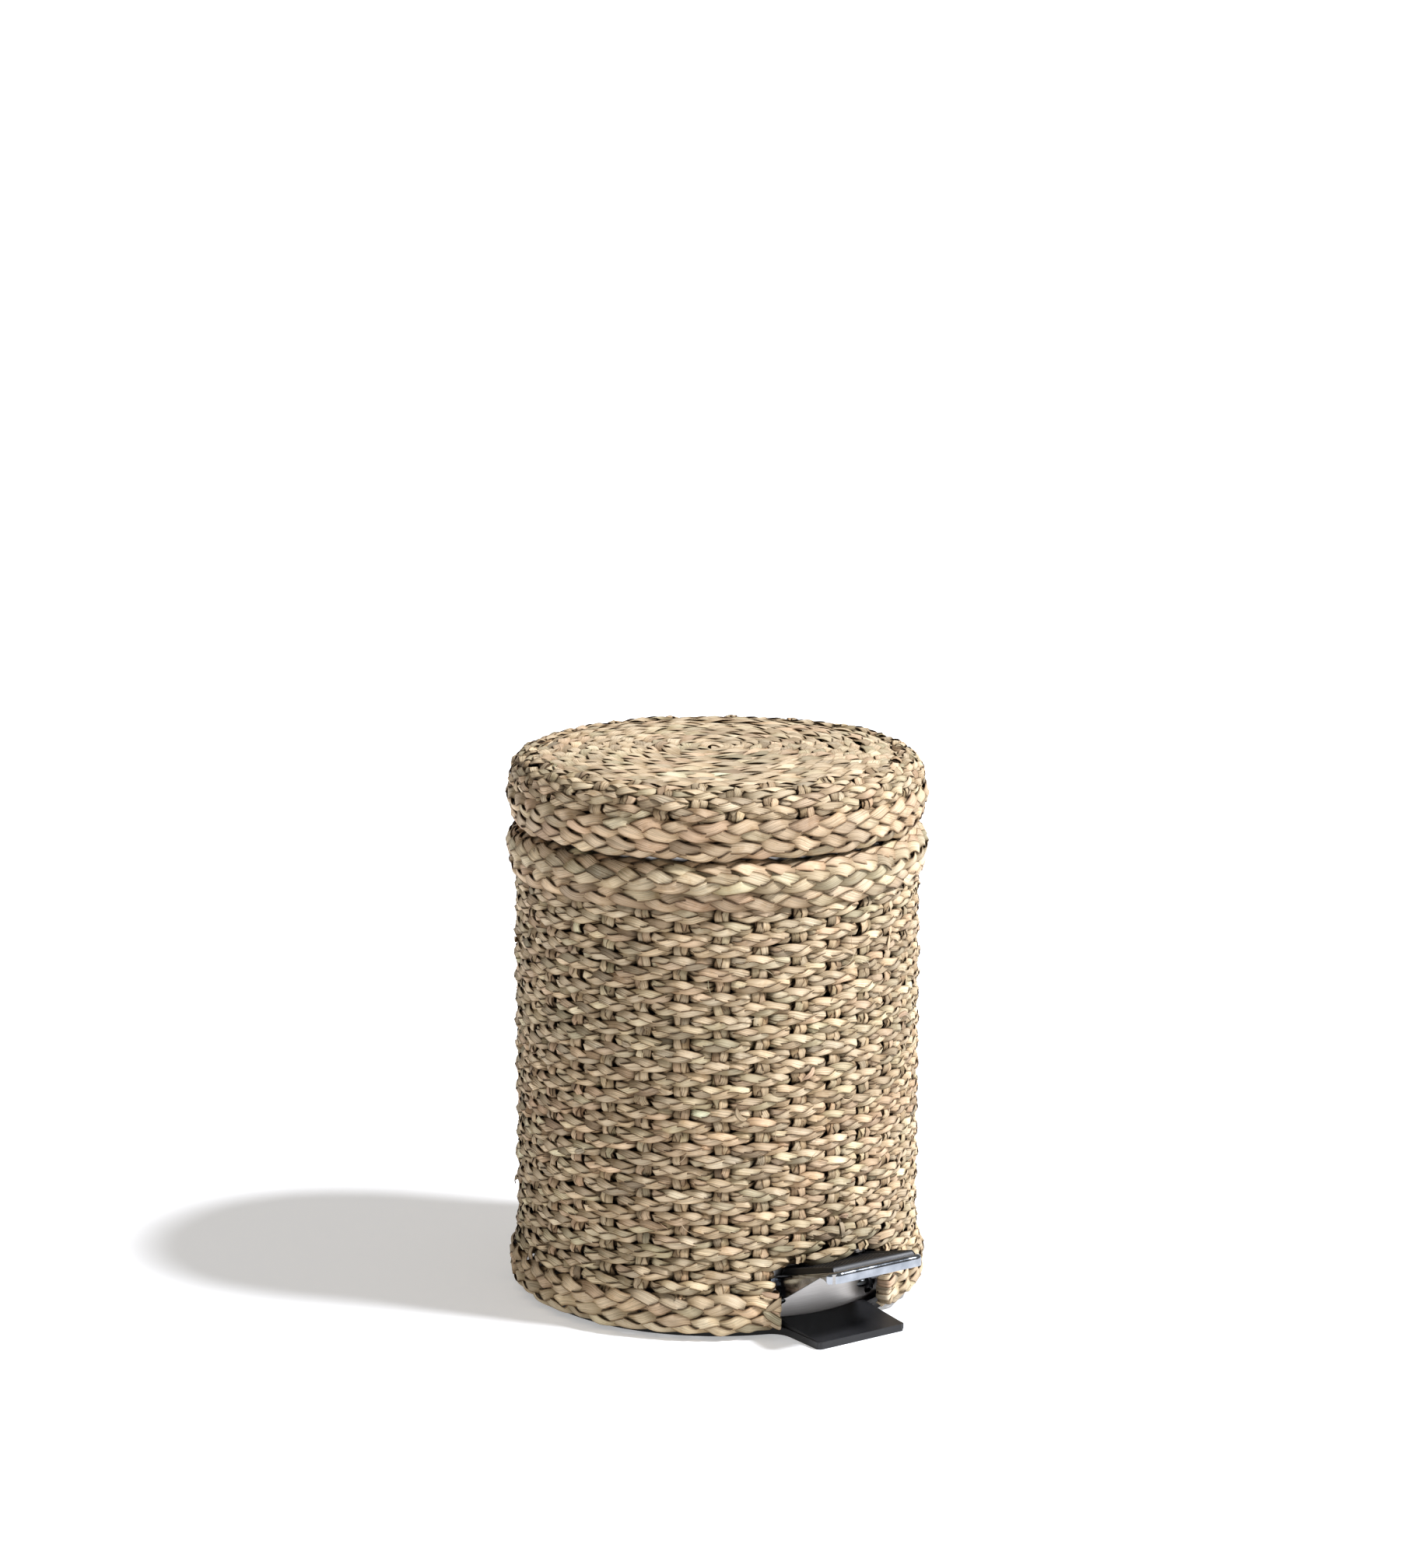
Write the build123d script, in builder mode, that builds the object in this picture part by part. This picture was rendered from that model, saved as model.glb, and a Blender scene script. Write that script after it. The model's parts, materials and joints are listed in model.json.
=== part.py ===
"""Pedal bin with a hand-woven seagrass cover, in millimetres.

+Z is up, the origin is on the floor at the middle of the round base, and the pedal faces -Y.
Bodies: the standing bin, the lid, the pedal, the lift rod, the inner bucket and its bail handle.
"""

import os
from math import cos, radians, sin, sqrt

from build123d import *

# ---- driving sizes ----
SHELL_R = 100.0  # outside of the steel shell
SHELL_T = 0.8
SHELL_TOP = 253.0
WEAVE_IN_R = 100.8  # inside of the woven cover
WEAVE_R = 108.0  # outside of the woven wall
TOTAL_H = 300.0

BASE_R = 103.0  # flange that the shell stands on
BASE_FLANGE_H = 6.8
BASE_WALL_H = 14.0
BASE_FLOOR_T = 2.5

TONGUE_HALF = 28.3  # anti-tip tongue in front of the shell
TONGUE_REACH = 133.6
TONGUE_FRONT_H = 4.0

OPENING_HALF = 36.5  # opening in the woven cover for the pedal
OPENING_TOP = 39.0

PIVOT_Y, PIVOT_Z = -94.5, 16.5  # pedal pivot, along X
PIVOT_R = 1.9
SADDLE_IN, SADDLE_OUT = 12.0, 18.0  # posts of the base that hold the pivot pin
EAR_IN, EAR_OUT = 32.2, 33.4  # ears of the pedal, outside the shell, that turn on the pin

TREAD_HALF = 30.3
TREAD_REACH = 149.0
TREAD_BACK = 96.3
TREAD_BACK_Z = 31.0  # top of the tread at its back edge
TREAD_SLOPE = 0.30
SHEET_T = 1.2  # steel sheet of the pedal
ARM_HALF = 10.0
ARM_Z = 9.0  # middle of the slot at the arm's rear end

HINGE_Y, HINGE_Z = 110.0, 262.5  # lid hinge, along X
HINGE_PIN_R = 2.0
LEVER_REACH = 19.3  # from the hinge to the lift rod's upper eye
LEVER_REST_DEG = 42.5  # the lever points this far below the horizontal at rest
ROD_R = 1.6
ROD_X = 8.0  # the rod's long run lies beside the lever
ROD_TOP_Y = HINGE_Y - LEVER_REACH * cos(radians(LEVER_REST_DEG))
ROD_TOP_Z = HINGE_Z - LEVER_REACH * sin(radians(LEVER_REST_DEG))
ROD_FOOT_Y = 89.5
ROD_SWAY = 5.1  # how far forward the rod moves at half travel
NOTCH_HALF = 21.0  # gap in the weave behind, for the hinge

BUCKET_TOP_Z = 255.0
BUCKET_FLANGE_T = 1.9
BUCKET_R_TOP, BUCKET_R_BOTTOM = 82.5, 77.0
BUCKET_BOTTOM_Z = 50.0
BUCKET_T = 1.6
BAIL_R = 91.0
BAIL_WIRE_R = 1.8
BAIL_BEND = 2.6
BAIL_Z = 259.5

LID_IN_R = 101.3
LID_T = 0.8
LID_SKIRT_Z = 255.8
LID_TOP_Z = 291.0
LID_CORNER = 12.0

# heights and places along the woven cover
FOOT_SPLIT_Z, FOOT_TOP_Z = 14.5, 25.0
RIM_LOW_Z, RIM_SPLIT_Z, RIM_TOP_Z = 232.0, 243.0, 257.6
NOTCH_LOW_Z = 219.0
LID_LOW_Z, LID_SPLIT_Z, LID_SIDE_Z = 261.2, 271.0, 281.0
LID_NOTCH_TOP = 283.0
LID_COIL_R = 100.0

# rivets, as (sideways, height) places on the shell's back and on the lid's skirt
RIVET_R = 1.6
RIVET_PLACES = [(-12.0, 225.5), (12.0, 225.5), (-16.8, 243.0), (16.8, 243.0)]
LID_RIVET_PLACES = [(-7.0, 274.0), (7.0, 274.0)]

os.makedirs("parts", exist_ok=True)


def save(builder, name):
    """Labels a finished piece and writes it to its own STEP file."""
    builder.part.label = name
    export_step(builder.part, f"parts/{name}.step")


def ring(points):
    """Turns a closed outline of (radius, height) points about the upright axis."""
    with BuildSketch(Plane.XZ) as outline:
        with BuildLine():
            Polyline(*points, close=True)
        make_face()
    revolve(outline.sketch, axis=Axis.Z)


def block(x0, x1, y0, y1, z0, z1, mode=Mode.ADD):
    """A plain box between two corners."""
    with Locations(((x0 + x1) / 2, (y0 + y1) / 2, (z0 + z1) / 2)):
        Box(x1 - x0, y1 - y0, z1 - z0, mode=mode)


def cross_rod(x0, x1, y, z, r, mode=Mode.ADD):
    """A round bar, or a bore, along X."""
    with Locations(((x0 + x1) / 2, y, z)):
        Cylinder(r, x1 - x0, rotation=(0, 90, 0), mode=mode)


def on_shell(x, r=SHELL_R):
    """How far in front of the middle a circle of radius r lies at sideways place x."""
    return sqrt(r * r - x * x)


# ---- base tray with its tongue ----
def make_base_tray():
    flange_start = 60.0
    corner_r = 12.0
    slope_back_h = 7.8
    wall_in = SHELL_R - SHELL_T - 3.0
    with BuildPart() as tray:
        with BuildSketch() as plan:
            Circle(BASE_R)
            with Locations((0, -(flange_start + TONGUE_REACH) / 2)):
                Rectangle(2 * TONGUE_HALF, TONGUE_REACH - flange_start)
            inner = [v for v in plan.vertices() if abs(abs(v.X) - TONGUE_HALF) < 0.1 and v.Y > -110]
            fillet(inner, corner_r)
            tips = [v for v in plan.vertices() if v.Y < -TONGUE_REACH + 0.1]
            fillet(tips, 2.5)
        extrude(amount=TONGUE_FRONT_H)
        # the flange under the shell is a little thicker than the tongue's front edge
        with BuildSketch():
            Circle(BASE_R)
        extrude(amount=BASE_FLANGE_H)
        # the tongue slopes down from the shell to its front edge
        with BuildSketch(Plane.YZ) as side:
            with BuildLine():
                tip = -TONGUE_REACH + 0.6
                top = Spline((-98, slope_back_h), (-110, 6.2), (-122, 5.0), (tip, TONGUE_FRONT_H))
                Polyline(top @ 1, (tip, 1.0), (-98, 1.0), top @ 0)
            make_face()
        extrude(amount=TONGUE_HALF - 0.4, both=True)
        # room for the shell, and the shallow well inside it
        with BuildSketch(Plane.XY.offset(BASE_FLANGE_H)):
            Circle(SHELL_R + 0.3)
        extrude(amount=20, mode=Mode.SUBTRACT)
        with BuildSketch(Plane.XY.offset(BASE_FLOOR_T)):
            Circle(wall_in)
        extrude(amount=20, mode=Mode.SUBTRACT)
        with BuildSketch(Plane.XY.offset(BASE_FLOOR_T)):
            Circle(SHELL_R - SHELL_T - 0.3)
            Circle(wall_in, mode=Mode.SUBTRACT)
        extrude(amount=BASE_WALL_H - BASE_FLOOR_T)
        # room for the pedal's ears beside the pivot
        for side_sign in (-1, 1):
            near, far = sorted((side_sign * 29.0, side_sign * 38.0))
            block(near, far, -99.0, -78.0, 8.0, 20.0, mode=Mode.SUBTRACT)
        # two saddles that hold the pivot pin
        for side_sign in (-1, 1):
            near, far = sorted((side_sign * SADDLE_IN, side_sign * SADDLE_OUT))
            block(near, far, PIVOT_Y - 2.6, PIVOT_Y + 3.4, BASE_FLOOR_T - 0.5, PIVOT_Z + 3.4)
        cross_rod(-SADDLE_OUT - 1, SADDLE_OUT + 1, PIVOT_Y, PIVOT_Z, PIVOT_R + 0.02, mode=Mode.SUBTRACT)
        # a raised rib ring that stiffens the floor
        with BuildSketch(Plane.XY.offset(BASE_FLOOR_T)):
            Circle(62)
            Circle(60, mode=Mode.SUBTRACT)
        extrude(amount=1.2)
    save(tray, "base_tray")


# ---- steel shell ----
def make_outer_shell():
    slot_low, slot_high = 9.6, 34.6
    slot_in, slot_out = 30.2, 37.0
    pin_hole_r = 2.7
    lever_slot_half, lever_slot_z = 5.0, 236.0
    with BuildPart() as shell:
        with BuildSketch(Plane.XY.offset(BASE_FLANGE_H)):
            Circle(SHELL_R)
            Circle(SHELL_R - SHELL_T, mode=Mode.SUBTRACT)
        extrude(amount=SHELL_TOP - BASE_FLANGE_H)
        # a slot on each side for the pedal's ear, and a round hole for the pin beside it
        for side_sign in (-1, 1):
            with BuildSketch(Plane.XZ.offset(60)):
                with Locations((side_sign * (slot_in + slot_out) / 2, (slot_low + slot_high) / 2)):
                    RectangleRounded(slot_out - slot_in, slot_high - slot_low, 2.0)
            extrude(amount=60, mode=Mode.SUBTRACT)
        cross_rod(-40, 40, PIVOT_Y, PIVOT_Z, pin_hole_r, mode=Mode.SUBTRACT)
        # slot behind for the lid's lever, open at the top
        with BuildSketch(Plane.XZ.offset(-60)):
            with Locations((0, (lever_slot_z + SHELL_TOP + 5) / 2)):
                Rectangle(2 * lever_slot_half, SHELL_TOP + 5 - lever_slot_z)
        extrude(amount=-60, mode=Mode.SUBTRACT)
        # rivet holes for the hinge bracket
        with BuildSketch(Plane.XZ.offset(-60)):
            with Locations(*RIVET_PLACES):
                Circle(RIVET_R + 0.05)
        extrude(amount=-60, mode=Mode.SUBTRACT)
    save(shell, "outer_shell")


# ---- hinge at the back ----
def make_hinge_bracket():
    plate_half, plate_low, plate_high = 20.0, 221.0, 252.0
    plate_r = 104.0
    ear_in, ear_out = 10.4, 13.4
    ear_r = 5.0
    with BuildPart() as bracket:
        with BuildSketch(Plane.XY.offset(plate_low)):
            Circle(plate_r)
            Circle(SHELL_R + 0.2, mode=Mode.SUBTRACT)
            with Locations((0, 105)):
                Rectangle(2 * plate_half, 30, mode=Mode.INTERSECT)
        extrude(amount=plate_high - plate_low)
        for side_sign in (-1, 1):
            middle = side_sign * (ear_in + ear_out) / 2
            with BuildSketch(Plane.YZ.offset(middle)):
                with BuildLine():
                    Polyline(
                        (HINGE_Y - ear_r, HINGE_Z),
                        (101.0, 251.9),
                        (101.0, 232.0),
                        (104.0, 232.0),
                        (HINGE_Y + ear_r, HINGE_Z),
                    )
                    RadiusArc((HINGE_Y + ear_r, HINGE_Z), (HINGE_Y - ear_r, HINGE_Z), -ear_r)
                make_face()
                with Locations((HINGE_Y, HINGE_Z)):
                    Circle(HINGE_PIN_R + 0.02, mode=Mode.SUBTRACT)
            extrude(amount=(ear_out - ear_in) / 2, both=True)
        with BuildSketch(Plane.XZ.offset(-90)):
            with Locations((0, 245.0)):
                Rectangle(11.0, 30.0)
            with Locations(*RIVET_PLACES):
                Circle(RIVET_R + 0.02)
        extrude(amount=-40, mode=Mode.SUBTRACT)
    save(bracket, "hinge_bracket")


def make_hinge_rivets():
    head_r, head_t = 2.6, 1.0
    plate_r = 104.0
    with BuildPart() as rivets:
        for x, z in RIVET_PLACES:
            outer = on_shell(x, plate_r)
            inner = on_shell(x, SHELL_R - SHELL_T)
            with BuildSketch(Plane.XZ.offset(-(inner - head_t - 0.6))):
                with Locations((x, z)):
                    Circle(head_r)
            extrude(amount=-head_t)
            with BuildSketch(Plane.XZ.offset(-(inner - 1.0))):
                with Locations((x, z)):
                    Circle(RIVET_R)
            extrude(amount=-(outer - inner + 2.4))
            with BuildSketch(Plane.XZ.offset(-(outer + 0.5))):
                with Locations((x, z)):
                    Circle(head_r)
            extrude(amount=-head_t, taper=25)
    save(rivets, "hinge_rivets")


def make_hinge_pin():
    with BuildPart() as pin:
        cross_rod(-15.4, 14.8, HINGE_Y, HINGE_Z, HINGE_PIN_R)
        cross_rod(-15.4, -13.6, HINGE_Y, HINGE_Z, 3.2)
        chamfer(pin.edges().filter_by(GeomType.CIRCLE).sort_by(Axis.X)[-1], 0.5)
    save(pin, "hinge_pin")


# ---- pedal ----
def pedal_top_z(forward):
    """Height of the tread's upper face: it climbs gently towards its front edge."""
    return TREAD_BACK_Z + (forward - TREAD_BACK) * TREAD_SLOPE


def make_pedal_plate():
    lip_z = pedal_top_z(TREAD_REACH) - 6.6
    corner_r = 6.5
    lobe_low = 20.6
    ear_top = TREAD_BACK_Z - 0.6
    cross_t = SHEET_T
    foot_z = PIVOT_Z - 4.8
    with BuildPart() as plate:
        # a solid wedge with the plate's outer shape, hollowed from below to one sheet thickness
        with BuildSketch(Plane.YZ) as side:
            with BuildLine():
                Polyline(
                    (-TREAD_BACK, pedal_top_z(TREAD_BACK)),
                    (-TREAD_REACH, pedal_top_z(TREAD_REACH)),
                    (-TREAD_REACH, lip_z),
                    (-TREAD_REACH + 5, lip_z - 1.0),
                    (-TREAD_REACH + 9, lip_z + 0.6),
                    (-136.5, lip_z + 0.7),
                    (-107.5, lobe_low + 1.9),
                    (-105.0, lobe_low + 0.4),
                    (-102.8, lobe_low),
                    (-99.6, lobe_low + 1.3),
                    (-97.8, lobe_low + 3.6),
                    (-TREAD_BACK, lobe_low + 4.0),
                    close=True,
                )
            make_face()
        extrude(amount=TREAD_HALF, both=True)
        front_posts = [
            e
            for e in plate.edges()
            if abs(e.center().Y + TREAD_REACH) < 0.2 and abs(abs(e.center().X) - TREAD_HALF) < 0.2
        ]
        fillet(front_posts, corner_r)
        top_face = plate.faces().filter_by(lambda f: f.normal_at().Z > 0.9).sort_by(Axis.Z)[-1]
        fillet(top_face.edges().filter_by(lambda e: e.center().Y < -TREAD_BACK - 1), 2.2)
        gap = SHEET_T * sqrt(1 + TREAD_SLOPE * TREAD_SLOPE)
        front_in = TREAD_REACH - SHEET_T - 0.4
        with BuildSketch(Plane.YZ):
            with BuildLine():
                Polyline(
                    (-TREAD_BACK + 9, pedal_top_z(TREAD_BACK - 9) - gap),
                    (-front_in, pedal_top_z(front_in) - gap),
                    (-front_in, 0),
                    (-TREAD_BACK + 9, 0),
                    close=True,
                )
            make_face()
        extrude(amount=TREAD_HALF - SHEET_T, both=True, mode=Mode.SUBTRACT)
        # the back edge follows the round shell
        with BuildSketch(Plane.XY.offset(20)):
            Circle(SHELL_R + 0.5)
            with Locations((0, -80)):
                Rectangle(2 * TREAD_HALF + 0.2, 60, mode=Mode.INTERSECT)
        extrude(amount=40, mode=Mode.SUBTRACT)
        for side_sign in (-1, 1):
            # the sheet steps outwards behind the flange and goes down as an ear with the pivot hole
            near, far = sorted((side_sign * (TREAD_HALF - SHEET_T), side_sign * EAR_OUT))
            block(near, far, -TREAD_BACK - cross_t, -TREAD_BACK, lobe_low + 4.0, ear_top)
            with BuildSketch(Plane.YZ.offset(side_sign * (EAR_IN + EAR_OUT) / 2)):
                with BuildLine():
                    Polyline(
                        (-TREAD_BACK - cross_t, ear_top),
                        (-TREAD_BACK - cross_t, 24.0),
                        (-TREAD_BACK - 3.3, 18.4),
                        (-TREAD_BACK - 2.1, 13.0),
                        (PIVOT_Y + 2.0, foot_z),
                        (-84.0, foot_z),
                        (-84.0, foot_z + 3.0),
                        (-90.0, 22.0),
                        (-93.0, ear_top),
                        close=True,
                    )
                make_face()
                with Locations((PIVOT_Y, PIVOT_Z)):
                    Circle(3.62, mode=Mode.SUBTRACT)
            extrude(amount=(EAR_OUT - EAR_IN) / 2, both=True)
            # foot turned inwards for the arm
            near, far = sorted((side_sign * 22.0, side_sign * EAR_OUT))
            block(near, far, -90.0, -84.0, foot_z, foot_z + SHEET_T)
        with BuildSketch(Plane.XY):
            with Locations((-26.0, -87.0), (26.0, -87.0)):
                Circle(1.52)
        extrude(amount=20, mode=Mode.SUBTRACT)
    save(plate, "pedal_plate")


def make_pedal_pad():
    pad_half, pad_back, pad_front = 27.3, 99.5, 144.0
    pad_t = 2.5
    rib_t, rib_count = 0.4, 9
    gap = 0.05
    middle = (pad_back + pad_front) / 2
    tilt = Plane(origin=(0, -middle, pedal_top_z(middle) + gap), x_dir=(1, 0, 0), z_dir=(0, TREAD_SLOPE, 1))
    length = (pad_front - pad_back) * sqrt(1 + TREAD_SLOPE * TREAD_SLOPE)
    with BuildPart() as pad:
        with BuildSketch(tilt):
            RectangleRounded(2 * pad_half, length, 5.0)
        extrude(amount=pad_t)
        with BuildSketch(tilt.offset(pad_t - 0.2)):
            with GridLocations(0, (length - 8) / (rib_count - 1), 1, rib_count):
                SlotOverall(2 * pad_half - 7, 2.0)
        extrude(amount=rib_t + 0.2)
        with BuildSketch(Plane.XY.offset(20)):
            Circle(SHELL_R + 1.6)
        extrude(amount=40, mode=Mode.SUBTRACT)
    save(pad, "pedal_pad")


def make_pedal_arm():
    """Flat bar from the pedal's feet, under the bucket, to the lift rod's foot."""
    bar_t = 2.0
    step_y = -70.0
    bar_end = 79.0
    slot_middle = ROD_FOOT_Y - ROD_SWAY / 2 + 0.5
    slot_length, slot_half = 10.6, ROD_R + 1.15
    rim = 1.9
    cross_top = PIVOT_Z - 4.85
    with BuildPart() as arm:
        block(-31.0, 31.0, -90.0, -82.0, cross_top - bar_t, cross_top)
        with BuildSketch(Plane.YZ):
            with BuildLine():
                low = ARM_Z - bar_t / 2
                Polyline(
                    (-84, cross_top - bar_t),
                    (step_y, low),
                    (bar_end, low),
                    (bar_end, low + bar_t),
                    (step_y, low + bar_t),
                    (-84, cross_top),
                    close=True,
                )
            make_face()
        extrude(amount=ARM_HALF, both=True)
        # an upright tab with the long slot for the rod's foot
        with BuildSketch(Plane.YZ.offset(-2)):
            with Locations((slot_middle, ARM_Z)):
                RectangleRounded(slot_length + 2 * rim, 2 * (slot_half + rim), 3.0)
            with Locations((bar_end, ARM_Z)):
                Rectangle(10.0, 2 * (slot_half + rim) - 2.0)
            with Locations((slot_middle, ARM_Z)):
                SlotOverall(slot_length, 2 * slot_half, mode=Mode.SUBTRACT)
        extrude(amount=-3)
        with BuildSketch(Plane.XY):
            with Locations((-26.0, -87.0), (26.0, -87.0)):
                Circle(1.52)
        extrude(amount=20, mode=Mode.SUBTRACT)
    save(arm, "pedal_arm")


def make_pedal_rivets():
    """Two rivets that clamp the arm to the turned-in feet of the pedal."""
    foot_top = PIVOT_Z - 4.8 + SHEET_T
    arm_low = PIVOT_Z - 4.85 - 2.0
    with BuildPart() as rivets:
        for x in (-26.0, 26.0):
            with Locations((x, -87.0, foot_top + 0.02)):
                Cylinder(2.8, 1.0, align=(Align.CENTER, Align.CENTER, Align.MIN))
            with Locations((x, -87.0, arm_low - 0.9)):
                Cylinder(1.5, foot_top - arm_low + 1.5, align=(Align.CENTER, Align.CENTER, Align.MIN))
            with Locations((x, -87.0, arm_low - 1.0)):
                Cylinder(2.8, 0.98, align=(Align.CENTER, Align.CENTER, Align.MIN))
    save(rivets, "pedal_rivets")


def make_pivot_bushes():
    """A plain bush in the left ear; the one in the right ear has a collar on its inner side."""
    collar_r, sleeve_r = 4.2, 3.6
    with BuildPart() as bushes:
        cross_rod(-EAR_OUT - 0.3, 0.5 - EAR_IN, PIVOT_Y, PIVOT_Z, sleeve_r)
        cross_rod(EAR_IN - 1.5, EAR_OUT + 0.3, PIVOT_Y, PIVOT_Z, sleeve_r)
        cross_rod(EAR_IN - 1.5, EAR_IN - 0.02, PIVOT_Y, PIVOT_Z, collar_r)
        cross_rod(-50, 50, PIVOT_Y, PIVOT_Z, PIVOT_R + 0.06, mode=Mode.SUBTRACT)
    save(bushes, "pivot_bushes")


def make_pivot_pin():
    with BuildPart() as pin:
        cross_rod(-35.6, 35.6, PIVOT_Y, PIVOT_Z, PIVOT_R)
        chamfer(pin.edges().filter_by(GeomType.CIRCLE), 0.4)
    save(pin, "pivot_pin")


def make_pivot_caps():
    with BuildPart() as caps:
        for side_sign in (-1, 1):
            near, far = sorted((side_sign * (EAR_OUT + 0.6), side_sign * (EAR_OUT + 2.0)))
            cross_rod(near, far, PIVOT_Y, PIVOT_Z, 3.2)
        cross_rod(-50, 50, PIVOT_Y, PIVOT_Z, PIVOT_R + 0.01, mode=Mode.SUBTRACT)
    save(caps, "pivot_caps")


# ---- lift rod and its guide ----
def make_lift_rod():
    bend = 4.0
    hook_end = -7.0
    joggle_low, joggle_high = 205.0, 220.0
    with BuildPart() as rod:
        with BuildLine() as path:
            FilletPolyline(
                (hook_end, ROD_FOOT_Y, ARM_Z),
                (ROD_X, ROD_FOOT_Y, ARM_Z),
                (ROD_X, ROD_FOOT_Y, joggle_low),
                (ROD_X, ROD_TOP_Y, joggle_high),
                (ROD_X, ROD_TOP_Y, ROD_TOP_Z),
                (hook_end, ROD_TOP_Y, ROD_TOP_Z),
                radius=bend,
            )
        with BuildSketch(Plane(origin=path.line @ 0, z_dir=path.line % 0)):
            Circle(ROD_R)
        sweep()
    save(rod, "lift_rod")


def make_rod_guide():
    """A moulded fork on the shell's inner wall that keeps the rod from swinging sideways."""
    slot_half = ROD_R + 0.6
    finger = 2.6
    with BuildPart() as guide:
        with BuildSketch(Plane.XY.offset(148)):
            Circle(SHELL_R - SHELL_T - 0.1)
            with Locations((ROD_X, 91.5)):
                Rectangle(2 * (slot_half + finger), 17.0, mode=Mode.INTERSECT)
            with Locations((ROD_X, 86.0)):
                Rectangle(2 * slot_half, 17.0, mode=Mode.SUBTRACT)
        extrude(amount=5)
    save(guide, "rod_guide")


# ---- lid ----
def make_lid_shell():
    """Domed steel top of the lid, down to where its skirt starts."""
    outer = LID_IN_R + LID_T
    flat_r = outer - LID_CORNER
    corner_z = LID_TOP_Z - LID_CORNER
    with BuildPart() as lid:
        with BuildSketch(Plane.XZ):
            with BuildLine():
                Line((0, LID_TOP_Z), (flat_r, LID_TOP_Z))
                RadiusArc((flat_r, LID_TOP_Z), (outer, corner_z), LID_CORNER)
                Line((outer, corner_z), (LID_IN_R, corner_z))
                RadiusArc((LID_IN_R, corner_z), (flat_r, LID_TOP_Z - LID_T), LID_T - LID_CORNER)
                Line((flat_r, LID_TOP_Z - LID_T), (0, LID_TOP_Z - LID_T))
                Line((0, LID_TOP_Z - LID_T), (0, LID_TOP_Z))
            make_face()
        revolve(axis=Axis.Z)
    save(lid, "lid_shell")


def make_lid_skirt():
    """Straight steel skirt of the lid, open behind where the lever comes in."""
    with BuildPart() as skirt:
        with BuildSketch(Plane.XY.offset(LID_SKIRT_Z)):
            Circle(LID_IN_R + LID_T)
            Circle(LID_IN_R, mode=Mode.SUBTRACT)
        extrude(amount=LID_TOP_Z - LID_CORNER - LID_SKIRT_Z)
        with BuildSketch(Plane.XZ.offset(-60)):
            with Locations((0, 257.0)):
                Rectangle(8.0, 22.0)
            with Locations(*LID_RIVET_PLACES):
                Circle(RIVET_R + 0.02)
        extrude(amount=-60, mode=Mode.SUBTRACT)
    save(skirt, "lid_skirt")


def make_lid_lever():
    """Steel bracket on the lid: a strap on the skirt, a knuckle on the hinge pin and a short lever."""
    knuckle_r, knuckle_half = 4.4, 10.0
    strap_half = 10.0
    lever_half = 1.75
    eye_r = 4.2
    outer = LID_IN_R + LID_T
    with BuildPart() as lever:
        # strap on the outside of the skirt, then out to the knuckle
        with BuildSketch(Plane.XY.offset(268.0)):
            Circle(outer + 2.0)
            Circle(outer + 0.05, mode=Mode.SUBTRACT)
            with Locations((0, 105)):
                Rectangle(2 * strap_half, 20, mode=Mode.INTERSECT)
        extrude(amount=12.0)
        with BuildSketch(Plane.YZ):
            with BuildLine():
                Polyline(
                    (102.6, 270.5),
                    (104.1, 271.0),
                    (HINGE_Y + 3.2, 265.4),
                    (HINGE_Y - 2, 262.5),
                    (102.6, 268.0),
                    close=True,
                )
            make_face()
        extrude(amount=strap_half, both=True)
        cross_rod(-knuckle_half, knuckle_half, HINGE_Y, HINGE_Z, knuckle_r)
        # the lever goes down through the slots in the skirt and in the shell
        with BuildSketch(Plane.YZ):
            with Locations((ROD_TOP_Y, ROD_TOP_Z)):
                Circle(eye_r)
            with Locations(Location(((ROD_TOP_Y + HINGE_Y) / 2, (ROD_TOP_Z + HINGE_Z) / 2), LEVER_REST_DEG)):
                Rectangle(LEVER_REACH, 2 * eye_r)
            with Locations((ROD_TOP_Y, ROD_TOP_Z)):
                Circle(ROD_R + 0.06, mode=Mode.SUBTRACT)
        extrude(amount=lever_half, both=True)
        cross_rod(-30, 30, HINGE_Y, HINGE_Z, HINGE_PIN_R + 0.06, mode=Mode.SUBTRACT)
        with BuildSketch(Plane.XZ.offset(-95)):
            with Locations(*LID_RIVET_PLACES):
                Circle(RIVET_R + 0.02)
        extrude(amount=-14, mode=Mode.SUBTRACT)
    save(lever, "lid_lever")


def make_lid_rivets():
    head_r = 3.2
    with BuildPart() as rivets:
        for x, z in LID_RIVET_PLACES:
            inner, outer = on_shell(x, LID_IN_R), on_shell(x, LID_IN_R + LID_T + 2.05)
            with BuildSketch(Plane.XZ.offset(-(inner - 1.5))):
                with Locations((x, z)):
                    Circle(head_r)
            extrude(amount=-1.0)
            with BuildSketch(Plane.XZ.offset(-(inner - 1.0))):
                with Locations((x, z)):
                    Circle(RIVET_R)
            extrude(amount=-(outer - inner + 1.6))
            with BuildSketch(Plane.XZ.offset(-(outer + 0.4))):
                with Locations((x, z)):
                    Circle(head_r)
            extrude(amount=-0.9, taper=25)
    save(rivets, "lid_rivets")


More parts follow.
